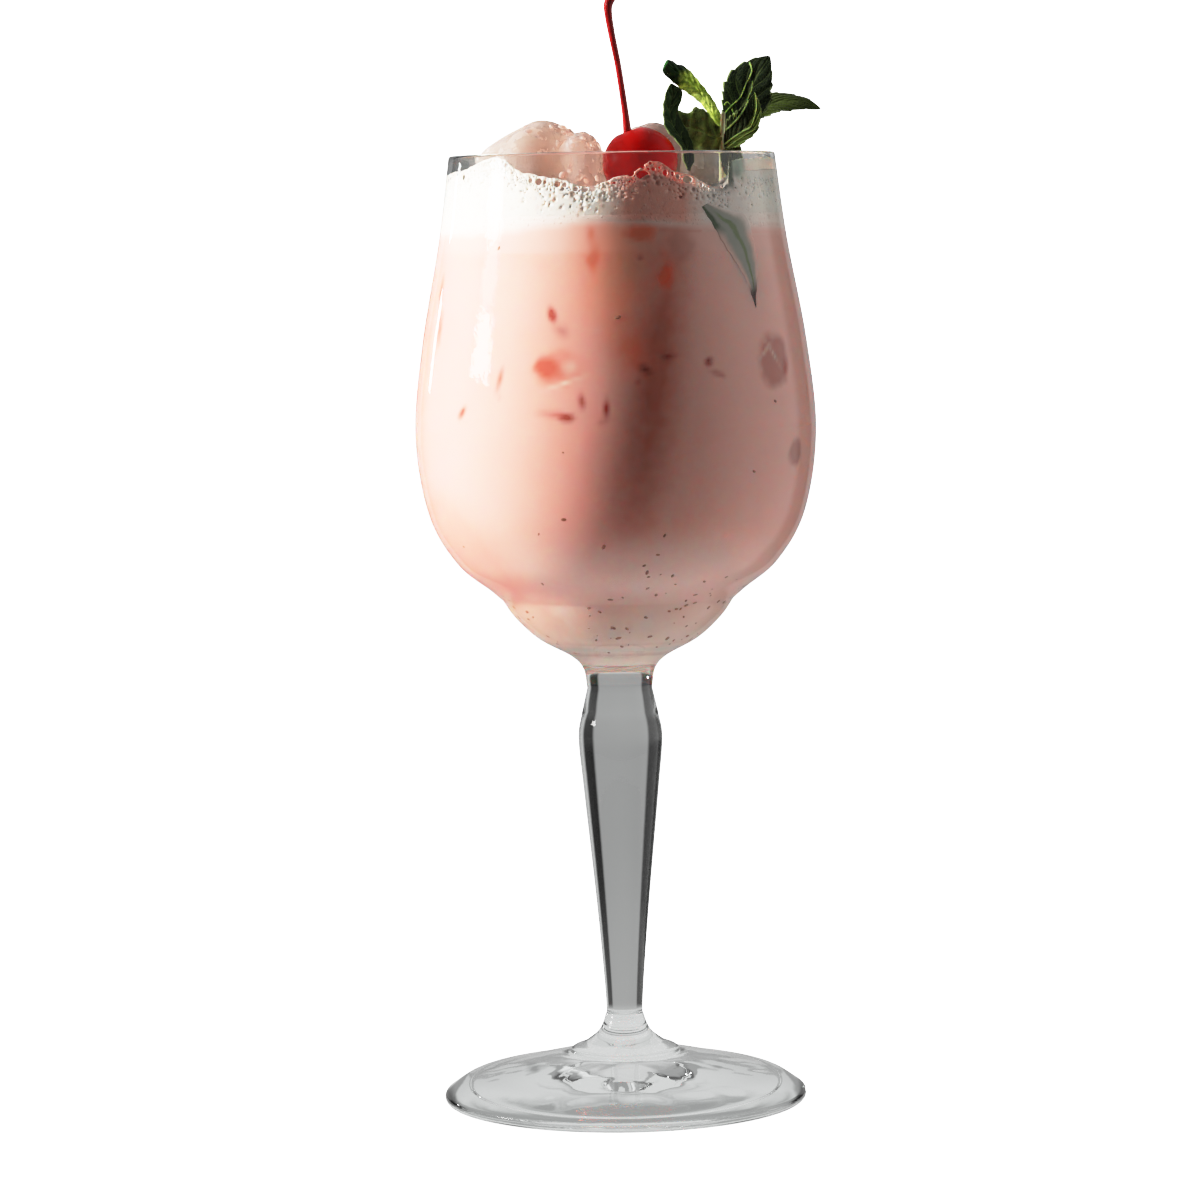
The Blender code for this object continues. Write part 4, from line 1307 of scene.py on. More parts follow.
def make_lace(settings):
    """The froth's edge on the wall: a thin sheet pierced by open bubbles."""
    look = froth_finish(settings.froth, "Froth lace", 0.35 * MM)
    girth = wall_radius(FOAM_LEVEL)
    half = math.pi * girth
    holes = lace_holes(settings.froth, girth)
    points, edges = [], []

    def add_loop(loop):
        first = len(points)
        points.extend(loop)
        edges.extend((first + k, first + (k + 1) % len(loop)) for k in range(len(loop)))

    def edge_height(along):
        scallop = ripple(along, 0.0, 1.3 * MM) * 0.28 * MM
        fade = min(1.0, (half - abs(along)) / MM)
        return along_line(FROTH_LINE, math.degrees(along / girth)) + scallop * fade

    def in_open(along, height):
        return any(
            ((along - at) / (wide + 0.1 * MM)) ** 2 + ((height - level) / (tall + 0.1 * MM)) ** 2 <= 1
            for at, level, wide, tall in holes
        )

    foot = LACE_FOOT - 0.8 * MM
    steps = np.linspace(-half, half, 900)
    top_edge = [(along, edge_height(along)) for along in steps]
    low_edge = [(along, foot) for along in steps[::-1][::3]]
    sides = np.linspace(foot, top_edge[-1][1], 12)[1:-1]
    left_side = [(-half, height) for height in sides]
    right_side = [(half, height) for height in sides[::-1]]
    add_loop(top_edge + right_side + low_edge + left_side)
    for along, height, wide, tall in holes:
        corners = 8 if wide < 0.16 * MM else 12 if wide < 0.4 * MM else 22
        turns = np.linspace(0, math.tau, corners, endpoint=False)
        add_loop([(along + wide * math.cos(turn), height + tall * math.sin(turn)) for turn in turns])
    fill = []
    for along in np.arange(-half + 0.5 * MM, half - 0.4 * MM, 0.8 * MM):
        heights = np.arange(foot + 0.5 * MM, edge_height(along) - 0.3 * MM, 0.8 * MM)
        fill.extend((along, height) for height in heights if not in_open(along, height))
    flat = [Vector((along / MM, (height - foot) / MM)) for along, height in points + fill]
    verts, _, faces, *_ = geometry.delaunay_2d_cdt(flat, edges, [], 1, 1e-6)
    bm = bmesh.new()
    placed = [bm.verts.new(lace_point(v.x * MM, foot + v.y * MM, girth)) for v in verts]
    middles = np.array([np.mean([verts[k][:] for k in face], axis=0) for face in faces]) * MM
    open_face = np.zeros(len(faces), bool)
    for along, height, wide, tall in holes:
        off = ((middles[:, 0] - along) / wide) ** 2 + ((middles[:, 1] + foot - height) / tall) ** 2
        open_face |= off < 0.97
    for face, is_open in zip(faces, open_face):
        if not is_open:
            bm.faces.new([placed[k] for k in face])
    bmesh.ops.remove_doubles(bm, verts=bm.verts, dist=1e-6)
    loose = [vert for vert in bm.verts if not vert.link_faces]
    bmesh.ops.delete(bm, geom=loose, context="VERTS")
    mesh = thickened(mesh_of("froth_lace", bm), LACE_DEPTH)
    paint_marks(mesh, FROTH_MARKS_AND_PAINTED_GLOW)
    add_piece("froth_lace", mesh, look, "pink_foam")


def make_bubbles(settings):
    """Whole bubbles that lie on the froth, thickest along the wall."""
    look = bubble_finish(settings.froth)
    bm = bmesh.new()
    bridge(bm, froth_rings(bm, np.linspace(0.1, 0.985, 24), steps_round(96)))
    ground = mesh_of("bubble_ground", bm)
    places = coordinates(ground)
    radius = np.hypot(places[:, 0], places[:, 1]) / wall_radius(FOAM_LEVEL)
    spread = np.clip(0.25 + 0.75 * radius**4 + 0.9 * noise_at(places, 6 * MM), 0.0, 1.5)
    strew(
        "froth_bubbles", ground, spread, look, "pink_foam",
        density=settings.froth.top_bubbles, smallest=0.2 * MM, largest=0.75 * MM,
        stretch=(1.0, 1.0, 0.8), draw=settings.froth.draw,
    )


# ---------------- ice

# Middle, half sizes in x and y, height above and depth below the middle, the shape's seed, and its
# power: 2 is an egg, more is a block with rounded corners, less is peaked
ICE_LUMPS = {
    "ice_1": [
        ((-17, 3, 209.5), (16, 10.5), (13.4, 9), 3, 1.55),
        ((-7.6, 1.5, 209.5), (6.8, 7.8), (10.4, 8.5), 8, 2.3),
    ],
    "ice_2": [((8.8, 12, 210.5), (11, 9), (12.2, 9.5), 5, 1.5)],
    "ice_3": [((-12.5, 21.8, 207.5), (9.2, 6.6), (8, 6.5), 11, 2.5)],
    "ice_4": [
        ((25.8, 14, 206), (5.8, 8), (6.5, 5), 14, 2.2),
        ((20.2, 7.8, 209), (4.6, 5), (5.4, 7), 7, 3.5),
    ],
    "ice_5": [((7, 27.5, 207), (8.2, 5.2), (7.6, 6), 21, 2.4)],
}
ICE_FOOT = 200.6 * MM
ROUGH_FROM = -13.0 * MM  # right of this the first lump is crushed and ragged


def add_lump(bm, middle, across, rise, seed, power):
    """A melted lump of ice: a rounded block with flattened, uneven sides."""
    for vert in bmesh.ops.create_icosphere(bm, subdivisions=5, radius=1.0)["verts"]:
        way = vert.co.normalized()
        shape = sum(abs(side) ** power for side in way) ** (-1 / power)
        uneven = 1 + 0.10 * noise.noise(way * 1.7 + Vector((seed, 0, 0)))
        reach = way * shape * uneven
        tall = rise[0] if reach.z > 0 else rise[1]
        vert.co = Vector((reach.x * across[0], reach.y * across[1], reach.z * tall)) * MM
        vert.co += Vector(middle) * MM
        vert.co.z = max(vert.co.z, ICE_FOOT)


def melted(name, lumps):
    """Lumps run together into one, uneven all over, and ragged where ice is crushed."""
    bm = bmesh.new()
    for lump in lumps:
        add_lump(bm, *lump)
    mesh = with_modifier(mesh_of(name, bm), "REMESH", mode="VOXEL", voxel_size=0.38 * MM)
    bm = bmesh.new()
    bm.from_mesh(mesh)
    every_way = {"use_axis_x": True, "use_axis_y": True, "use_axis_z": True}
    bmesh.ops.smooth_vert(bm, verts=bm.verts, factor=0.5, **every_way)
    bm.normal_update()
    for vert in bm.verts:
        place = vert.co.copy()
        ragged = 1.0 if name != "ice_1" else min(max((place.x - ROUGH_FROM) / (5 * MM), 0.0), 1.0)
        fine = noise.noise(place / (1.1 * MM)) * 0.10 + noise.noise(place / (2.6 * MM)) * 0.22
        broad = noise.noise(place / (6.0 * MM)) * 0.25
        vert.co += vert.normal * (broad + fine * (0.15 + 0.85 * ragged)) * MM
    bm.to_mesh(mesh)
    bm.free()
    return mesh


def make_ice(settings):
    """The lumps of ice, and the crumbs on the foremost one."""
    ice = settings.ice
    lit = ice_finish(ice, "Frosted ice", ice.body)
    shaded = ice_finish(ice, "Frosted ice in shade", (0.24, 0.17, 0.155))
    # Painted shade: a dark grey standing in for the shade seen through this ice
    clear = ice_finish(ice, "Clear ice in painted shade", (0.15, 0.14, 0.125))
    for name, lumps in ICE_LUMPS.items():
        look = {"ice_2": shaded, "ice_4": clear, "ice_5": shaded}.get(name, lit)
        mesh = melted(name, lumps)
        add_piece(name.replace("ice", "ice_lump"), mesh, look, "ice", name)
        if name == "ice_1":
            add_ice_beads(mesh, lit)


def add_ice_beads(lump, look):
    """Crumbs of ice and trapped bubbles over the crushed part of a lump."""
    ground = lump.copy()
    places = coordinates(ground)
    crushed = np.clip((places[:, 0] - ROUGH_FROM + 1 * MM) / (4 * MM), 0.04, 1)
    spread = crushed * np.clip(0.5 + 1.6 * noise_at(places, 3 * MM), 0, 1.5)
    strew(
        "ice_beads", ground, spread, look, "ice",
        density=420000.0, smallest=0.16 * MM, largest=0.7 * MM, stretch=(1.5, 1.0, 0.55), draw=4,
    )


# ---------------- cherry

CHERRY_MIDDLE = Vector((6.25, -17.0, 212.45)) * MM
CHERRY_TILT = math.radians(-19)
CHERRY_STALK = [
    (3.6, -17, 219.4), (3.2, -17, 223.6), (2.5, -17, 229), (1.6, -17, 235),
    (0.45, -17, 241), (-0.2, -17, 245.2), (-0.25, -17, 247.4), (0.4, -17, 249),
]
CHERRY_STALK_RADII = [0.95, 0.75, 0.7, 0.7, 0.75, 0.85, 1, 1.1]


DIMPLE_DEPTH, DIMPLE_WIDTH = 0.14, 0.2  # shares of the fruit's half height and half width


def make_cherry(settings):
    """A round fruit with a dimple, and its stalk."""
    cherry = settings.cherry
    bm = bmesh.new()
    bmesh.ops.create_uvsphere(bm, u_segments=96, v_segments=64, radius=1.0)
    for vert in bm.verts:
        away = math.hypot(vert.co.x, vert.co.y)
        dimple = DIMPLE_DEPTH * math.exp(-((away / DIMPLE_WIDTH) ** 2)) if vert.co.z > 0 else 0.02
        uneven = 1 + 0.012 * noise.noise(vert.co * 2.2)
        vert.co.z -= dimple * (1 if vert.co.z > 0 else -1)
        vert.co.x *= cherry.radius * uneven
        vert.co.y *= cherry.radius * uneven
        vert.co.z *= cherry.half_height
    place = Matrix.Translation(CHERRY_MIDDLE) @ Matrix.Rotation(CHERRY_TILT, 4, "Y")
    bmesh.ops.transform(bm, matrix=place, verts=bm.verts)
    skin = cherry_finish(cherry.skin)
    add_piece("cherry_fruit", mesh_of("cherry_fruit", bm), skin, "cherry_skin", "cherry")
    bark = stalk_finish("Cherry stalk", cherry.stalk, (0.22, 0.006, 0.006), 0.3)
    radii = np.array(CHERRY_STALK_RADII) * MM
    stalk = stalk_mesh("cherry_stalk", np.array(CHERRY_STALK) * MM, radii, around=20)
    add_piece("cherry_stalk", stalk, bark, "cherry_stalk", "cherry_stem")


# ---------------- mint

MINT_STALK = [
    (25.4, -4, 186), (25.1, -4, 197), (24.9, -4, 207), (24.8, -4, 215.4),
    (24.9, -4, 220), (25.15, -4, 223.8),
]
MINT_STALK_RADII = [0.95, 0.95, 0.9, 0.75, 0.6, 0.5]

# Each leaf in mm: midrib from base to tip, the way its upper side faces at base and tip, half widths
# left and right of the midrib seen along it, where along it the blade is widest, fold of each half
# towards the upper side in degrees, and curl of the edges
MINT_LEAVES = {
    "mint_leaf_3": dict(
        midrib=[
            (25.4, -2.9, 219.6), (27.8, -1.6, 222.4), (30.2, -0.8, 226), (32.2, -0.8, 230.6),
            (35.8, -2.2, 236.2),
        ],
        facing=[(-0.35, -0.9, 0.2), (-0.1, -0.75, 0.65)],
        half_widths=(6.8, 5.8),
        widest=0.54,
        folds=(10, 16),
        curl=-14,
    ),
    "mint_leaf_4": dict(
        midrib=[
            (25.4, -5.3, 216), (28, -7.2, 218.2), (30.6, -8, 220.8), (32, -7.8, 224.2),
            (32.2, -6.4, 227.8),
        ],
        facing=[(-0.3, -0.75, 0.6), (-0.5, -0.85, 0.1)],
        half_widths=(4.4, 2.5),
        widest=0.42,
        folds=(24, -22),
        curl=10,
    ),
    "mint_leaf_5": dict(
        midrib=[
            (25.6, -1.6, 217.6), (28.4, 3, 220.6), (32, 6.2, 224.4),
            (36.6, 7.2, 225.9), (42, 6.8, 226.2), (47.4, 5.8, 224.5),
        ],
        facing=[(0, -0.5, 0.85), (0.1, -0.6, 0.8)],
        half_widths=(4.3, 4.3),
        widest=0.58,
        folds=(4, 10),
        curl=-8,
    ),
    "mint_leaf_6": dict(
        midrib=[
            (26.2, -5.4, 208.8), (26.3, -5.3, 211), (26.8, -5.1, 213.4), (27.6, -5, 215.6),
            (28.6, -5.2, 217.4),
        ],
        facing=[(-0.2, -0.9, 0.3), (0.1, -0.9, 0.4)],
        half_widths=(2.5, 2.5),
        widest=0.55,
        folds=(14, 10),
        curl=0,
    ),
}

# Leaves that curl too much for that: their two edges from base to tip, and the bulge between them
CURLED_LEAVES = {
    "mint_leaf_1": (
        [
            (25.1, -3.4, 222), (24.1, -2.2, 224.4), (22.9, -0.9, 226.7), (21.9, 0, 228.1),
            (21, 0.7, 229.4), (19.6, 1, 231.1), (18.2, 1.1, 232.8), (16.6, 0.9, 234.2),
            (15, 0.3, 234.7), (13.8, -0.5, 235.4), (12.9, -0.9, 235.7), (12.2, -1.2, 234.8),
        ],
        [
            (24.7, -3.4, 220.6), (23, -1.9, 222), (21.5, -0.7, 224.5), (20.3, 0, 226.1),
            (18.8, 0.4, 227.4), (17.2, 0.3, 228.6), (15.9, 0, 229.4), (14.7, -0.5, 230.4),
            (13.5, -1, 231.4), (12.5, -1.5, 232.4), (11.8, -1.5, 233.3), (12.1, -1.4, 234.6),
        ],
        0.9,
    ),
    "mint_leaf_2": (
        [
            (16.9, -6, 211.2), (16, -6.6, 213.4), (15.9, -7.1, 215.6), (14.2, -7.4, 218.1),
            (12.8, -7.5, 219.6), (12, -7.5, 221.2), (11.8, -7.4, 223.2), (11.8, -7.2, 225.3),
            (12.1, -6.9, 227), (12.7, -6.4, 229), (13.4, -5.8, 230.3),
        ],
        [
            (17.4, -5.6, 210.6), (18.5, -4.9, 213.8), (18.1, -4.5, 217), (17.1, -4.1, 219.6),
            (15.9, -3.9, 221.9), (15.1, -3.8, 223.7), (15, -3.9, 224.8), (15.6, -4.1, 226.5),
            (16, -4.5, 228), (15.4, -5, 229.3), (13.7, -5.6, 230.4),
        ],
        -0.5,
    ),
    "mint_leaf_7": (
        [
            (25, -3.7, 220.3), (23.6, -3.4, 221), (22.4, -3.2, 222.7), (21.2, -3.1, 224.2),
            (20, -3, 224.7), (18.7, -3, 225), (18.1, -3.1, 224.1), (16.7, -3.2, 223.7),
            (15.2, -3.4, 224.2), (14.4, -3.6, 222.5),
        ],
        [
            (24.9, -4.3, 216.7), (23.7, -4.1, 215), (21.8, -4, 214.6), (20.1, -3.9, 214.7),
            (18.4, -3.8, 215.1), (17, -3.8, 215.7), (15.7, -3.8, 217), (14.7, -3.8, 218.3),
            (14.2, -3.8, 219.7), (14.1, -3.8, 222),
        ],
        0.4,
    ),
}

# Raised ribs: half widths at both ends in mm, and (x, z) along each
RIBS = [
    (0.19, 0.08, [(25, 223), (27.1, 225.3), (29, 227), (29.9, 228.7), (30.5, 230.3), (31.1, 231.3)]),
    (0.21, 0.08, [
        (24.9, 219.2), (26.6, 220.6), (28.1, 222.1), (29.5, 224),
        (30.5, 225.7), (31, 227.3), (31.7, 228.9), (31.9, 230.8),
    ]),
    (0.22, 0.09, [
        (24.8, 216.2), (27, 217.9), (29.5, 219.5), (31, 220.3),
        (31.8, 221.8), (32.4, 224), (32.5, 225.9), (32.3, 228.1),
    ]),
    (0.16, 0.30, [(31.1, 231.2), (31.8, 232.9), (31.7, 234.2), (31.4, 234.9)]),
    (0.22, 0.05, [(25.6, 225.6), (26.2, 226.2), (26.9, 225.6)]),
    (0.16, 0.05, [(27.2, 224.6), (27.6, 223.4), (27.3, 222.2)]),
    (0.12, 0.05, [(28.3, 223.8), (27.9, 222.9), (28.2, 222.3)]),
    (0.12, 0.05, [(25.3, 215.4), (27.5, 217.1), (30, 218.7), (32.2, 219.9)]),
    (0.10, 0.04, [(26.1, 215.1), (28.1, 216.3), (29.9, 217.5)]),
]
LEAF_ROWS = 96
LEAF_COLUMNS = 16  # on each side of the midrib
LEAF_TEETH = 9
VEIN_SWEEP = 0.45  # how far towards the tip a side vein runs, as a share of the leaf
CURLED_SWEEP = 0.15  # the same in a curled leaf
PUFF = 0.20  # height in mm of the blade between its veins
GROOVE = 0.12  # depth in mm of the groove along its middle


def leaf_profile(share, widest):
    """Half width of a mint leaf along its length, as a share of its widest."""
    moved = share ** (math.log(0.5) / math.log(widest))
    blade = math.sin(math.pi * moved) ** 0.85 if 0 < share < 1 else 0.0
    return max(blade, 0.07)


def even_steps(line):
    """The rows of a leaf at even distances along a smooth curve, from its start to its end."""
    curve = spaced(line, 24)
    travelled = np.concatenate([[0], np.cumsum(np.linalg.norm(np.diff(curve, axis=0), axis=1))])
    stops = np.linspace(0, travelled[-1], LEAF_ROWS + 1)
    return np.column_stack([np.interp(stops, travelled, curve[:, k]) for k in range(3)])


def sheet_of(name, rows):
    """A sheet over rows of points in mm, with a UV map across and along it."""
    bm = bmesh.new()
    grid = [[bm.verts.new(Vector(place) * MM) for place in row] for row in rows]
    spots = {
        spot: (column / (len(row) - 1), index / (len(grid) - 1))
        for index, row in enumerate(grid)
        for column, spot in enumerate(row)
    }
    maps = bm.loops.layers.uv.new("leaf")
    for row, beyond in zip(grid, grid[1:]):
        for k in range(len(row) - 1):
            face = bm.faces.new((row[k], row[k + 1], beyond[k + 1], beyond[k]))
            for loop in face.loops:
                loop[maps].uv = spots[loop.vert]
    bmesh.ops.remove_doubles(bm, verts=grid[-1], dist=2e-5)
    return mesh_of(name, bm)


def pucker(share, reach, pairs, sweep):
    """Height of the blade between its side veins, and of the groove along its middle."""
    phase = ((share - sweep * reach**0.8) * pairs) % 1.0
    puff = PUFF * math.sqrt(abs(phase - 0.5) * 2) * min(1.0, reach * 5) * (1 - reach**4)
    return puff - GROOVE * math.exp(-((reach / 0.06) ** 2))


def leaf_sheet(name, pairs, midrib, facing, half_widths, widest, folds, curl):
    """A toothed leaf along its midrib, puckered between its side veins."""
    places = even_steps(midrib)
    along = np.gradient(places, axis=0)
    rows = []
    for index, place in enumerate(places):
        share = index / LEAF_ROWS
        forward = Vector(along[index]).normalized()
        up = Vector(facing[0]).lerp(Vector(facing[1]), share)
        up = (up - forward * up.dot(forward)).normalized()
        left = up.cross(forward)
        saw = share * LEAF_TEETH % 1.0
        breadth = leaf_profile(share, widest) if share < 1 else 0.0
        row = []
        for column in range(-LEAF_COLUMNS, LEAF_COLUMNS + 1):
            side = 0 if column > 0 else 1
            reach = abs(column) / LEAF_COLUMNS
            tooth = 1.0 + (0.13 * saw - 0.07) * reach**6 * (share > 0.1)
            width = half_widths[side] * breadth * reach * tooth
            bend = math.radians(folds[side] * math.sin(math.pi * (0.15 + 0.7 * share)) + curl * reach)
            ripple = 0.25 * math.sin(7 * math.pi * share) * reach**2 * breadth
            out = left * math.copysign(width * math.cos(bend), column) if column else Vector()
            folded = width * math.sin(bend) + ripple
            raised = folded + pucker(share, reach, pairs, VEIN_SWEEP) * min(1.0, breadth * 2)
            row.append(Vector(place) + out + up * raised)
        rows.append(row)
    return sheet_of(name, rows)


def curled_sheet(name, pairs, first_edge, second_edge, bulge):
    """A toothed leaf between its two edges, bulging towards the front."""
    starts, ends = even_steps(first_edge), even_steps(second_edge)
    along = np.gradient((starts + ends) / 2, axis=0)
    rows = []
    for index, (start, end, ahead) in enumerate(zip(starts, ends, along)):
        share = index / LEAF_ROWS
        across = Vector(end - start)
        front = across.cross(Vector(ahead)).normalized()
        front *= math.copysign(1.0, -front.y)
        saw = share * LEAF_TEETH % 1.0
        breadth = min(1.0, across.length / 3.0)
        row = []
        for column in range(2 * LEAF_COLUMNS + 1):
            way = column / LEAF_COLUMNS - 1
            reach = abs(way)
            tooth = math.copysign((0.4 * saw - 0.15) * reach**6 * breadth, way)
            raised = (bulge * (1 - reach**2) + pucker(share, reach, pairs, CURLED_SWEEP)) * breadth
            spot = Vector(start) + across * (way + 1) / 2 + across.normalized() * tooth
            row.append(spot + front * raised)
        rows.append(row)
    return sheet_of(name, rows)


def thickened(sheet, thickness, offset=0.0):
    """The sheet as a closed piece, grown to both sides of it, or to one."""
    return with_modifier(sheet, "SOLIDIFY", thickness=thickness, offset=offset, use_even_offset=False)


def rib_meshes(blades):
    """Raised ribs on the fronts of these blades, as one mesh."""
    points, faces = [], []
    for blade in blades:
        faces += [[len(points) + k for k in face.vertices] for face in blade.polygons]
        points += [vert.co for vert in blade.vertices]
    tree = bvhtree.BVHTree.FromPolygons(points, faces)
    bm = bmesh.new()
    for thick, thin, line in RIBS:
        starts = [Vector((x * MM, -0.05, z * MM)) for x, z in spaced(line, 4)]
        hits = [tree.ray_cast(start, Vector((0, 1, 0)))[0] for start in starts]
        route = np.array([hit + Vector((0, -0.03 * MM, 0)) for hit in hits if hit is not None])
        strand = stalk_mesh("rib", route, [thick * MM, thin * MM], around=8, per_span=2)
        bm.from_mesh(strand)
        bpy.data.meshes.remove(strand)
    return mesh_of("mint_ribs", bm)


def make_mint(settings):
    """The sprig: its stalk, its leaves, and the raised ribs on the leaves in front."""
    mint = settings.mint
    stalk_look = stalk_finish("Mint stalk", mint.stalk, (0.40, 0.44, 0.24), 0.4)
    stalk = stalk_mesh("mint_stalk", np.array(MINT_STALK) * MM, np.array(MINT_STALK_RADII) * MM)
    add_piece("mint_stalk", stalk, stalk_look, "mint_stalk", "mint_stem")
    # blade, style, share of the veins, pairs of them, how far they sweep, how wide they are
    looks = {
        "mint_leaf_1": (mint.lit_blade, "pitted", 0.55, 9.0, 0.15, 0.16),
        "mint_leaf_2": ((0.035, 0.07, 0.025), "plain", 0.2, 7.0, 0.15, 0.10),
        "mint_leaf_3": (mint.blade, "plain", 0.12, 5.0, 0.45, 0.05),
        "mint_leaf_4": (mint.olive_blade, "dark half", 0.25, 7.0, 0.45, 0.08),
        "mint_leaf_5": (mint.olive_blade, "plain", 0.15, 9.0, 0.45, 0.08),
        "mint_leaf_6": (mint.olive_blade, "plain", 0.3, 7.0, 0.45, 0.08),
        "mint_leaf_7": ((0.32, 0.42, 0.13), "blotched", 0.6, 4.6, 0.10, 0.30),
    }
    blades = {}
    for name, (blade, style, vein_share, pairs, sweep, width) in looks.items():
        if name in MINT_LEAVES:
            sheet = leaf_sheet(name, pairs, **MINT_LEAVES[name])
        else:
            sheet = curled_sheet(name, pairs, *CURLED_LEAVES[name])
        blades[name] = thickened(sheet, mint.thickness)
        label = name.replace("_", " ").capitalize()
        look = leaf_finish(label, blade, mint.vein, style, vein_share, pairs, sweep, width)
        add_piece(name.replace("mint_leaf", "mint_blade"), blades[name], look, "mint_leaf", name)
    rib_look = stalk_finish("Mint ribs", (0.30, 0.43, 0.12), (0.16, 0.25, 0.06), 0.4)
    ribs = rib_meshes([blades["mint_leaf_3"], blades["mint_leaf_4"]])
    add_piece("mint_ribs", ribs, rib_look, "mint_leaf")


# Edges of the leaf in the drink, from its top to its tip: bearing and height in mm
SUNK_LEFT = [
    (-58.5, 202.7), (-54.3, 198.4), (-51.0, 194.3), (-46.0, 189.3), (-43.2, 186.0), (-41.9, 182.5),
    (-41.2, 180.4),
]
SUNK_RIGHT = [
    (-56.0, 203.4), (-46.5, 201.6), (-39.5, 200.6), (-37.3, 196.5), (-36.8, 191.5), (-38.0, 187.0),
    (-40.2, 183.0), (-41.0, 180.4),
]


def make_sunk_leaf(settings):
    """The leaf that hangs in the drink against the wall, dulled by the milk over it."""
    edges = [[on_wall(at, height * MM) / MM for at, height in edge] for edge in (SUNK_LEFT, SUNK_RIGHT)]
    sheet = curled_sheet("sunk_leaf", 6.0, *edges, 0.0)
    places = coordinates(sheet)
    for index, (x, y, z) in enumerate(places):
        places[index, :2] *= (wall_radius(z) + INTO_WALL * 1.6) / math.hypot(x, y)
    move_points(sheet, places)
    outwards = [face.normal.x * face.center.x + face.normal.y * face.center.y for face in sheet.polygons]
    mesh = thickened(sheet, 0.3 * MM, 1.0 if sum(outwards) < 0 else -1.0)
    paint_marks(mesh, SHOWING_AND_PAINTED_LIGHT)
    add_piece("sunk_leaf", mesh, sunk_leaf_finish(settings), "mint_leaf")


# ---------------- stage

CAMERA_PLACE = Vector((0.0, -1.015, 0.198))
CAMERA_PITCH, CAMERA_YAW, CAMERA_ROLL = (math.radians(turn) for turn in (4.70773, -0.23483, -0.899277))
CAMERA_LENS = 134.758  # mm on a 36 mm sensor
TARGET = Vector((0.0, 0.0, 0.165))

# Brightness of the room by bearing from +Y towards +X: as seen through the glass and in it, and as
# the soft light that falls on the drink
ROOM = [
    (-180, 0.10), (-150, 0.06), (-105, 0.03), (-40, 0.015), (-32, 0.02), (-28, 0.34), (0, 0.36),
    (27, 0.36), (31, 0.015), (48, 0.02), (56, 0.66), (100, 0.60), (130, 0.15), (180, 0.10),
]
SOFT = [
    (-180, 0.0), (-120, 0.01), (-60, 0.10), (0, 0.10), (60, 0.12), (95, 0.10), (130, 0.02), (180, 0.0),
]

# What the highlights become: brightness before and after
SHOULDER = [
    (0.0, 0.0), (0.3, 0.3), (0.65, 0.65), (0.8, 0.745), (1.0, 0.83), (1.3, 0.895), (1.7, 0.95),
    (2.3, 0.985), (3.0, 1.0),
]


def make_camera():
    """The camera, which frames the whole glass from the front."""
    pitch, yaw, roll = CAMERA_PITCH, CAMERA_YAW, CAMERA_ROLL
    ahead = Vector((math.sin(yaw) * math.cos(pitch), math.cos(yaw) * math.cos(pitch), -math.sin(pitch)))
    level = Vector((math.cos(yaw), -math.sin(yaw), 0.0))
    upright = level.cross(ahead)
    right = level * math.cos(roll) + upright * math.sin(roll)
    up = -level * math.sin(roll) + upright * math.cos(roll)
    lens = bpy.data.cameras.new("camera")
    lens.sensor_width, lens.lens = 36.0, CAMERA_LENS
    lens.clip_start, lens.clip_end = 0.01, 50.0
    camera = add_object("camera", lens)
    turn = Matrix((right, up, -ahead)).transposed()
    camera.matrix_world = Matrix.Translation(CAMERA_PLACE) @ turn.to_4x4()
    bpy.context.scene.camera = camera


def face_target(thing, place, front):
    """Sets a thing at a bearing from +Y towards +X, an elevation and a distance, with the axis that
    is its front towards the glass."""
    bearing, elevation, distance = place
    turn, rise = math.radians(bearing), math.radians(elevation)
    away = Vector((math.sin(turn) * math.cos(rise), math.cos(turn) * math.cos(rise), math.sin(rise)))
    thing.location = TARGET + away * distance
    thing.rotation_euler = (-away).to_track_quat(front, "Y").to_euler()


def add_light(name, place, size, power, tone, seen=False):
    """A soft rectangular light, which the glass may mirror and show through itself."""
    lamp = bpy.data.lights.new(name, "AREA")
    lamp.shape = "RECTANGLE"
    lamp.size, lamp.size_y = size
    lamp.energy = power
    lamp.color = tone
    light = add_object(name, lamp)
    face_target(light, place, "-Z")
    light.visible_glossy = light.visible_transmission = seen


def around_the_room(tree, place, levels):
    """Brightness by the bearing of a place, or of the way that a ray leaves, and its height."""
    x, y, height = parts_of(tree, place)
    bearing = calc(tree, "ARCTAN2", x, y)
    band = put(tree, "ShaderNodeValToRGB", {0: calc(tree, "MULTIPLY_ADD", bearing, 1 / math.tau, 0.5)})
    stops = band.color_ramp.elements
    while len(stops) < len(levels):
        stops.new(0.5)
    for stop, (degrees, brightness) in zip(stops, levels):
        stop.position = degrees / 360 + 0.5
        stop.color = (brightness, brightness, brightness, 1.0)
    return band.outputs["Color"], height


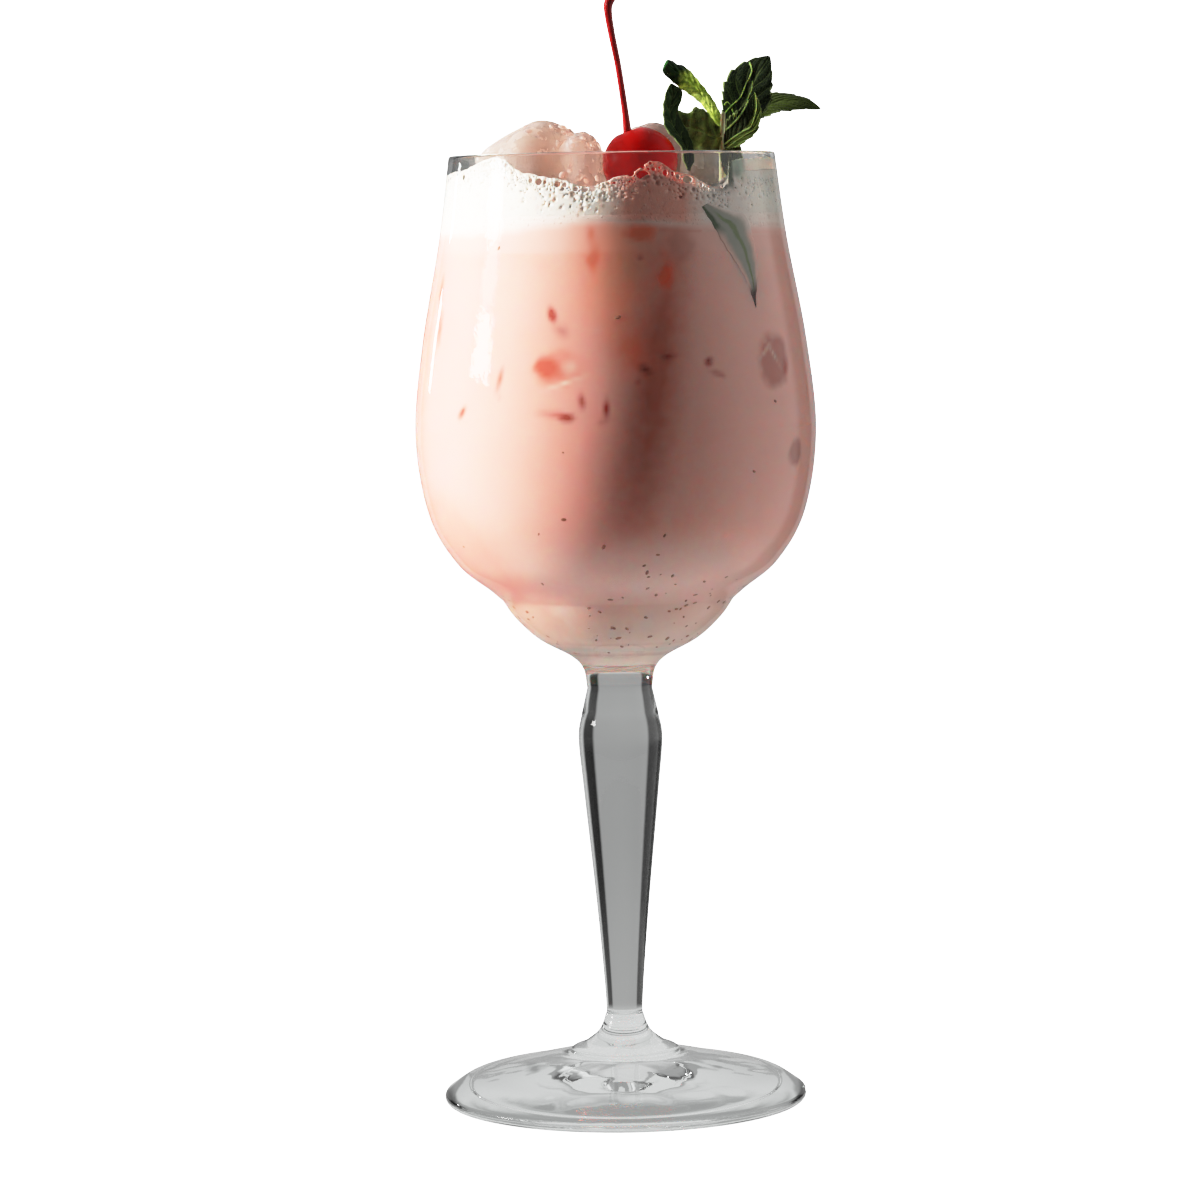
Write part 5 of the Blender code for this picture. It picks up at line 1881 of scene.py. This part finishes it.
def make_room(ambient):
    """White to the camera, a grey room with dark sides in the glass, and a dim one to the drink."""
    world = bpy.data.worlds.new("room")
    bpy.context.scene.world = world
    world.use_nodes = True
    tree = world.node_tree
    tree.nodes.clear()
    way = put(tree, "ShaderNodeTexCoord").outputs["Generated"]
    seen, height = around_the_room(tree, way, ROOM)
    above = between(tree, height, 0.25, 0.55, 0.0, 0.30)
    seen = mixed(tree, 1.0, seen, above, "ADD")
    soft, _ = around_the_room(tree, way, SOFT)
    soft = mixed(tree, 1.0, soft, (ambient, ambient, ambient), "MULTIPLY")
    path = rays(tree)
    shown = mixed(tree, calc(tree, "GREATER_THAN", path["Diffuse Depth"], 0.5), seen, soft)
    shown = mixed(tree, path["Is Camera Ray"], shown, (1.0, 1.0, 1.0))
    strength = calc(tree, "MULTIPLY_ADD", path["Is Camera Ray"], 3.0, 1.0)
    back = put(tree, "ShaderNodeBackground", {"Color": shown, "Strength": strength})
    put(tree, "ShaderNodeOutputWorld", {"Surface": back.outputs[0]})


def glowing(tree, tone, strength):
    """A shader that gives off light."""
    return put(tree, "ShaderNodeEmission", {"Color": opaque(tone), "Strength": strength}).outputs[0]


def floor_finish(stage):
    """Plain pale floor, with a glow of its own that is brightest by the foot. It meets the white
    behind it without an edge."""
    look, tree = new_finish("Floor")
    grain = times(tree, clouds_of(tree, 0.4, 0.4), 0.3)
    paler = mixed(tree, grain, stage.floor, tinted(stage.floor, 0.96))
    matt = put(tree, "ShaderNodeBsdfDiffuse", {"Color": paler}).outputs[0]
    place = place_of(tree)
    away = put(tree, "ShaderNodeVectorMath", {0: place}, operation="LENGTH").outputs["Value"]
    path = rays(tree)
    pool = between(tree, away, 0.06, 0.15, stage.pool, 0.0)
    near = between(tree, away, 0.045, 0.11, 0.68, 0.42)
    sides, _ = around_the_room(tree, place, ROOM)
    beneath = mixed(tree, between(tree, away, 0.09, 0.2), near, sides)
    inside = calc(tree, "GREATER_THAN", path["Diffuse Depth"], 0.5)
    glow = glowing(tree, mixed(tree, inside, beneath, pool), 1.0)
    soft = shaders_mixed(tree, 0.965, matt, glow)
    direct = shaders_mixed(tree, 0.9, matt, glowing(tree, (1.0, 1.0, 1.0), 4.0))
    return end_finish(look, shaders_mixed(tree, path["Is Camera Ray"], soft, direct), stage.floor)


def make_floor(stage):
    """A wide round floor, just under the foot."""
    bm = bmesh.new()
    bmesh.ops.create_circle(bm, cap_ends=True, segments=96, radius=4.0)
    mesh = mesh_of("floor", bm)
    mesh.materials.append(floor_finish(stage))
    floor = add_object("floor", mesh)
    floor.location.z = -0.2 * MM


def soften_highlights(view):
    """Rolls the highlights off, so that the lit side keeps its colour."""
    view.view_transform = "Standard"
    view.look = "None"
    view.use_curve_mapping = True
    mapping = view.curve_mapping
    top = SHOULDER[-1][0]
    mapping.white_level = (top, top, top)
    points = mapping.curves[3].points
    while len(points) < len(SHOULDER):
        points.new(0.5, 0.5)
    for point, (before, after) in zip(points, SHOULDER):
        point.location = (before / top, after)
    mapping.update()


def window_finish(strength):
    """Glow of a window with frayed edges, calmer at its upper end, in bands along its height."""
    look, tree = new_finish("Window")
    place = place_of(tree)
    x, y, _ = parts_of(tree, place)
    ragged = noise_of(tree, drawn_out(tree, place, (5.0, 34.0, 1.0)), 1.0, 4.0)
    drift = noise_of(tree, drawn_out(tree, place, (1.5, 7.0, 1.0)), 1.0, 1.0)
    across = times(tree, calc(tree, "ABSOLUTE", x), 2.0)
    along = times(tree, calc(tree, "ABSOLUTE", y), 2.0)
    edge = calc(tree, "MAXIMUM", across, calc(tree, "POWER", along, 8.0))
    calmer = between(tree, y, 0.38, 0.42, 1.0, 0.35)
    frayed = times(tree, calc(tree, "SUBTRACT", ragged, 0.5), 2.0)
    frayed = calc(tree, "MULTIPLY_ADD", calc(tree, "SUBTRACT", drift, 0.5), 1.6, frayed)
    edge = calc(tree, "MULTIPLY_ADD", frayed, calmer, edge)
    level = 0.35
    for low, high, change in ((-0.02, -0.06, 0.65), (0.33, 0.35, -0.27), (0.41, 0.43, 0.92)):
        level = calc(tree, "ADD", between(tree, y, low, high, 0.0, change), level)
    shown = times(tree, between(tree, edge, 1.0, 0.25), times(tree, level, strength))
    return end_finish(look, glowing(tree, (1.0, 0.99, 0.97), shown), (1.0, 1.0, 1.0))


def add_window(place, size, strength):
    """What the glass mirrors of the key light: a card that is seen in reflections alone."""
    bm = bmesh.new()
    bmesh.ops.create_grid(bm, x_segments=1, y_segments=1, size=0.5)
    mesh = mesh_of("window", bm)
    mesh.materials.append(window_finish(strength))
    card = add_object("window", mesh)
    face_target(card, place, "Z")
    card.scale = (*size, 1.0)
    card.visible_camera = card.visible_diffuse = card.visible_shadow = card.visible_transmission = False


def make_stage(settings):
    """Camera, room, floor, lights and window, and how bright parts are shown."""
    stage = settings.stage
    make_camera()
    make_room(stage.ambient)
    make_floor(stage)
    add_light("key", (-92, 18, 1.25), (0.34, 0.5), stage.key_power, (1.0, 0.98, 0.96))
    add_light("fill", (94, 12, 1.4), (0.7, 0.9), stage.fill_power, (0.97, 1.0, 1.0))
    add_window((-95, 15, 1.2), (0.34, 0.29), stage.window)
    add_light("edge", (-45, 5, 1.3), (0.06, 0.12), stage.edge_power, (1.0, 1.0, 1.0), seen=True)
    soften_highlights(bpy.context.scene.view_settings)


# ---------------- operators and panel


def operator(idname, label, help_text, make):
    """An operator class for one group of pieces."""

    def execute(self, context):
        make(context.scene.colada)
        return {"FINISHED"}

    body = {"__doc__": help_text, "bl_idname": idname, "bl_label": label}
    body |= {"bl_options": {"REGISTER", "UNDO"}, "execute": execute}
    return type("COLADA_OT_" + idname.split(".")[1], (bpy.types.Operator,), body)


OPERATORS = [
    operator("colada.stage", "Stage", "Adds the camera, lights, room and floor", make_stage),
    operator("colada.glass", "Glass", "Turns the stemmed glass", make_glass),
    operator("colada.drink", "Drink", "Fills the glass with the milky drink", make_drink),
    operator("colada.fruit", "Fruit", "Sets strawberry lumps against the wall", make_fruit_bits),
    operator("colada.seeds", "Seeds", "Scatters strawberry seeds in the drink", make_seeds),
    operator("colada.froth", "Froth", "Lays the froth on the drink", make_froth),
    operator("colada.lace", "Lace", "Hangs the lace of open bubbles on the wall", make_lace),
    operator("colada.bubbles", "Bubbles", "Strews whole bubbles over the froth", make_bubbles),
    operator("colada.ice", "Ice", "Sets the lumps of ice", make_ice),
    operator("colada.cherry", "Cherry", "Sets the cherry with its stalk", make_cherry),
    operator("colada.mint", "Mint", "Stands the sprig of mint", make_mint),
    operator("colada.sunk_leaf", "Sunk leaf", "Hangs a leaf in the drink", make_sunk_leaf),
]


class COLADA_PT_panel(bpy.types.Panel):
    """Lists the pieces and their settings."""

    bl_label = "Strawberry colada"
    bl_idname = "COLADA_PT_panel"
    bl_space_type = "VIEW_3D"
    bl_region_type = "UI"
    bl_category = "Colada"

    def draw(self, context):
        for made in OPERATORS:
            self.layout.operator(made.bl_idname)
        for name in ColadaSettings.__annotations__:
            box = self.layout.box()
            box.label(text=name.capitalize())
            part = getattr(context.scene.colada, name)
            for key in part.__annotations__:
                box.prop(part, key)


CLASSES = [
    GlassSettings, DrinkSettings, FrothSettings, IceSettings, CherrySettings, MintSettings, StageSettings,
    ColadaSettings, *OPERATORS, COLADA_PT_panel,
]


def register():
    """Adds the settings, operators and panel."""
    for made in CLASSES:
        bpy.utils.register_class(made)
    bpy.types.Scene.colada = PointerProperty(type=ColadaSettings)


def unregister():
    """Takes them away again."""
    del bpy.types.Scene.colada
    for made in reversed(CLASSES):
        bpy.utils.unregister_class(made)


def main():
    """Builds every piece, and writes down the sizes of the solids and of the finished object."""
    register()
    for made in OPERATORS:
        group, name = made.bl_idname.split(".")
        getattr(getattr(bpy.ops, group), name)()


if __name__ == "__main__":
    main()
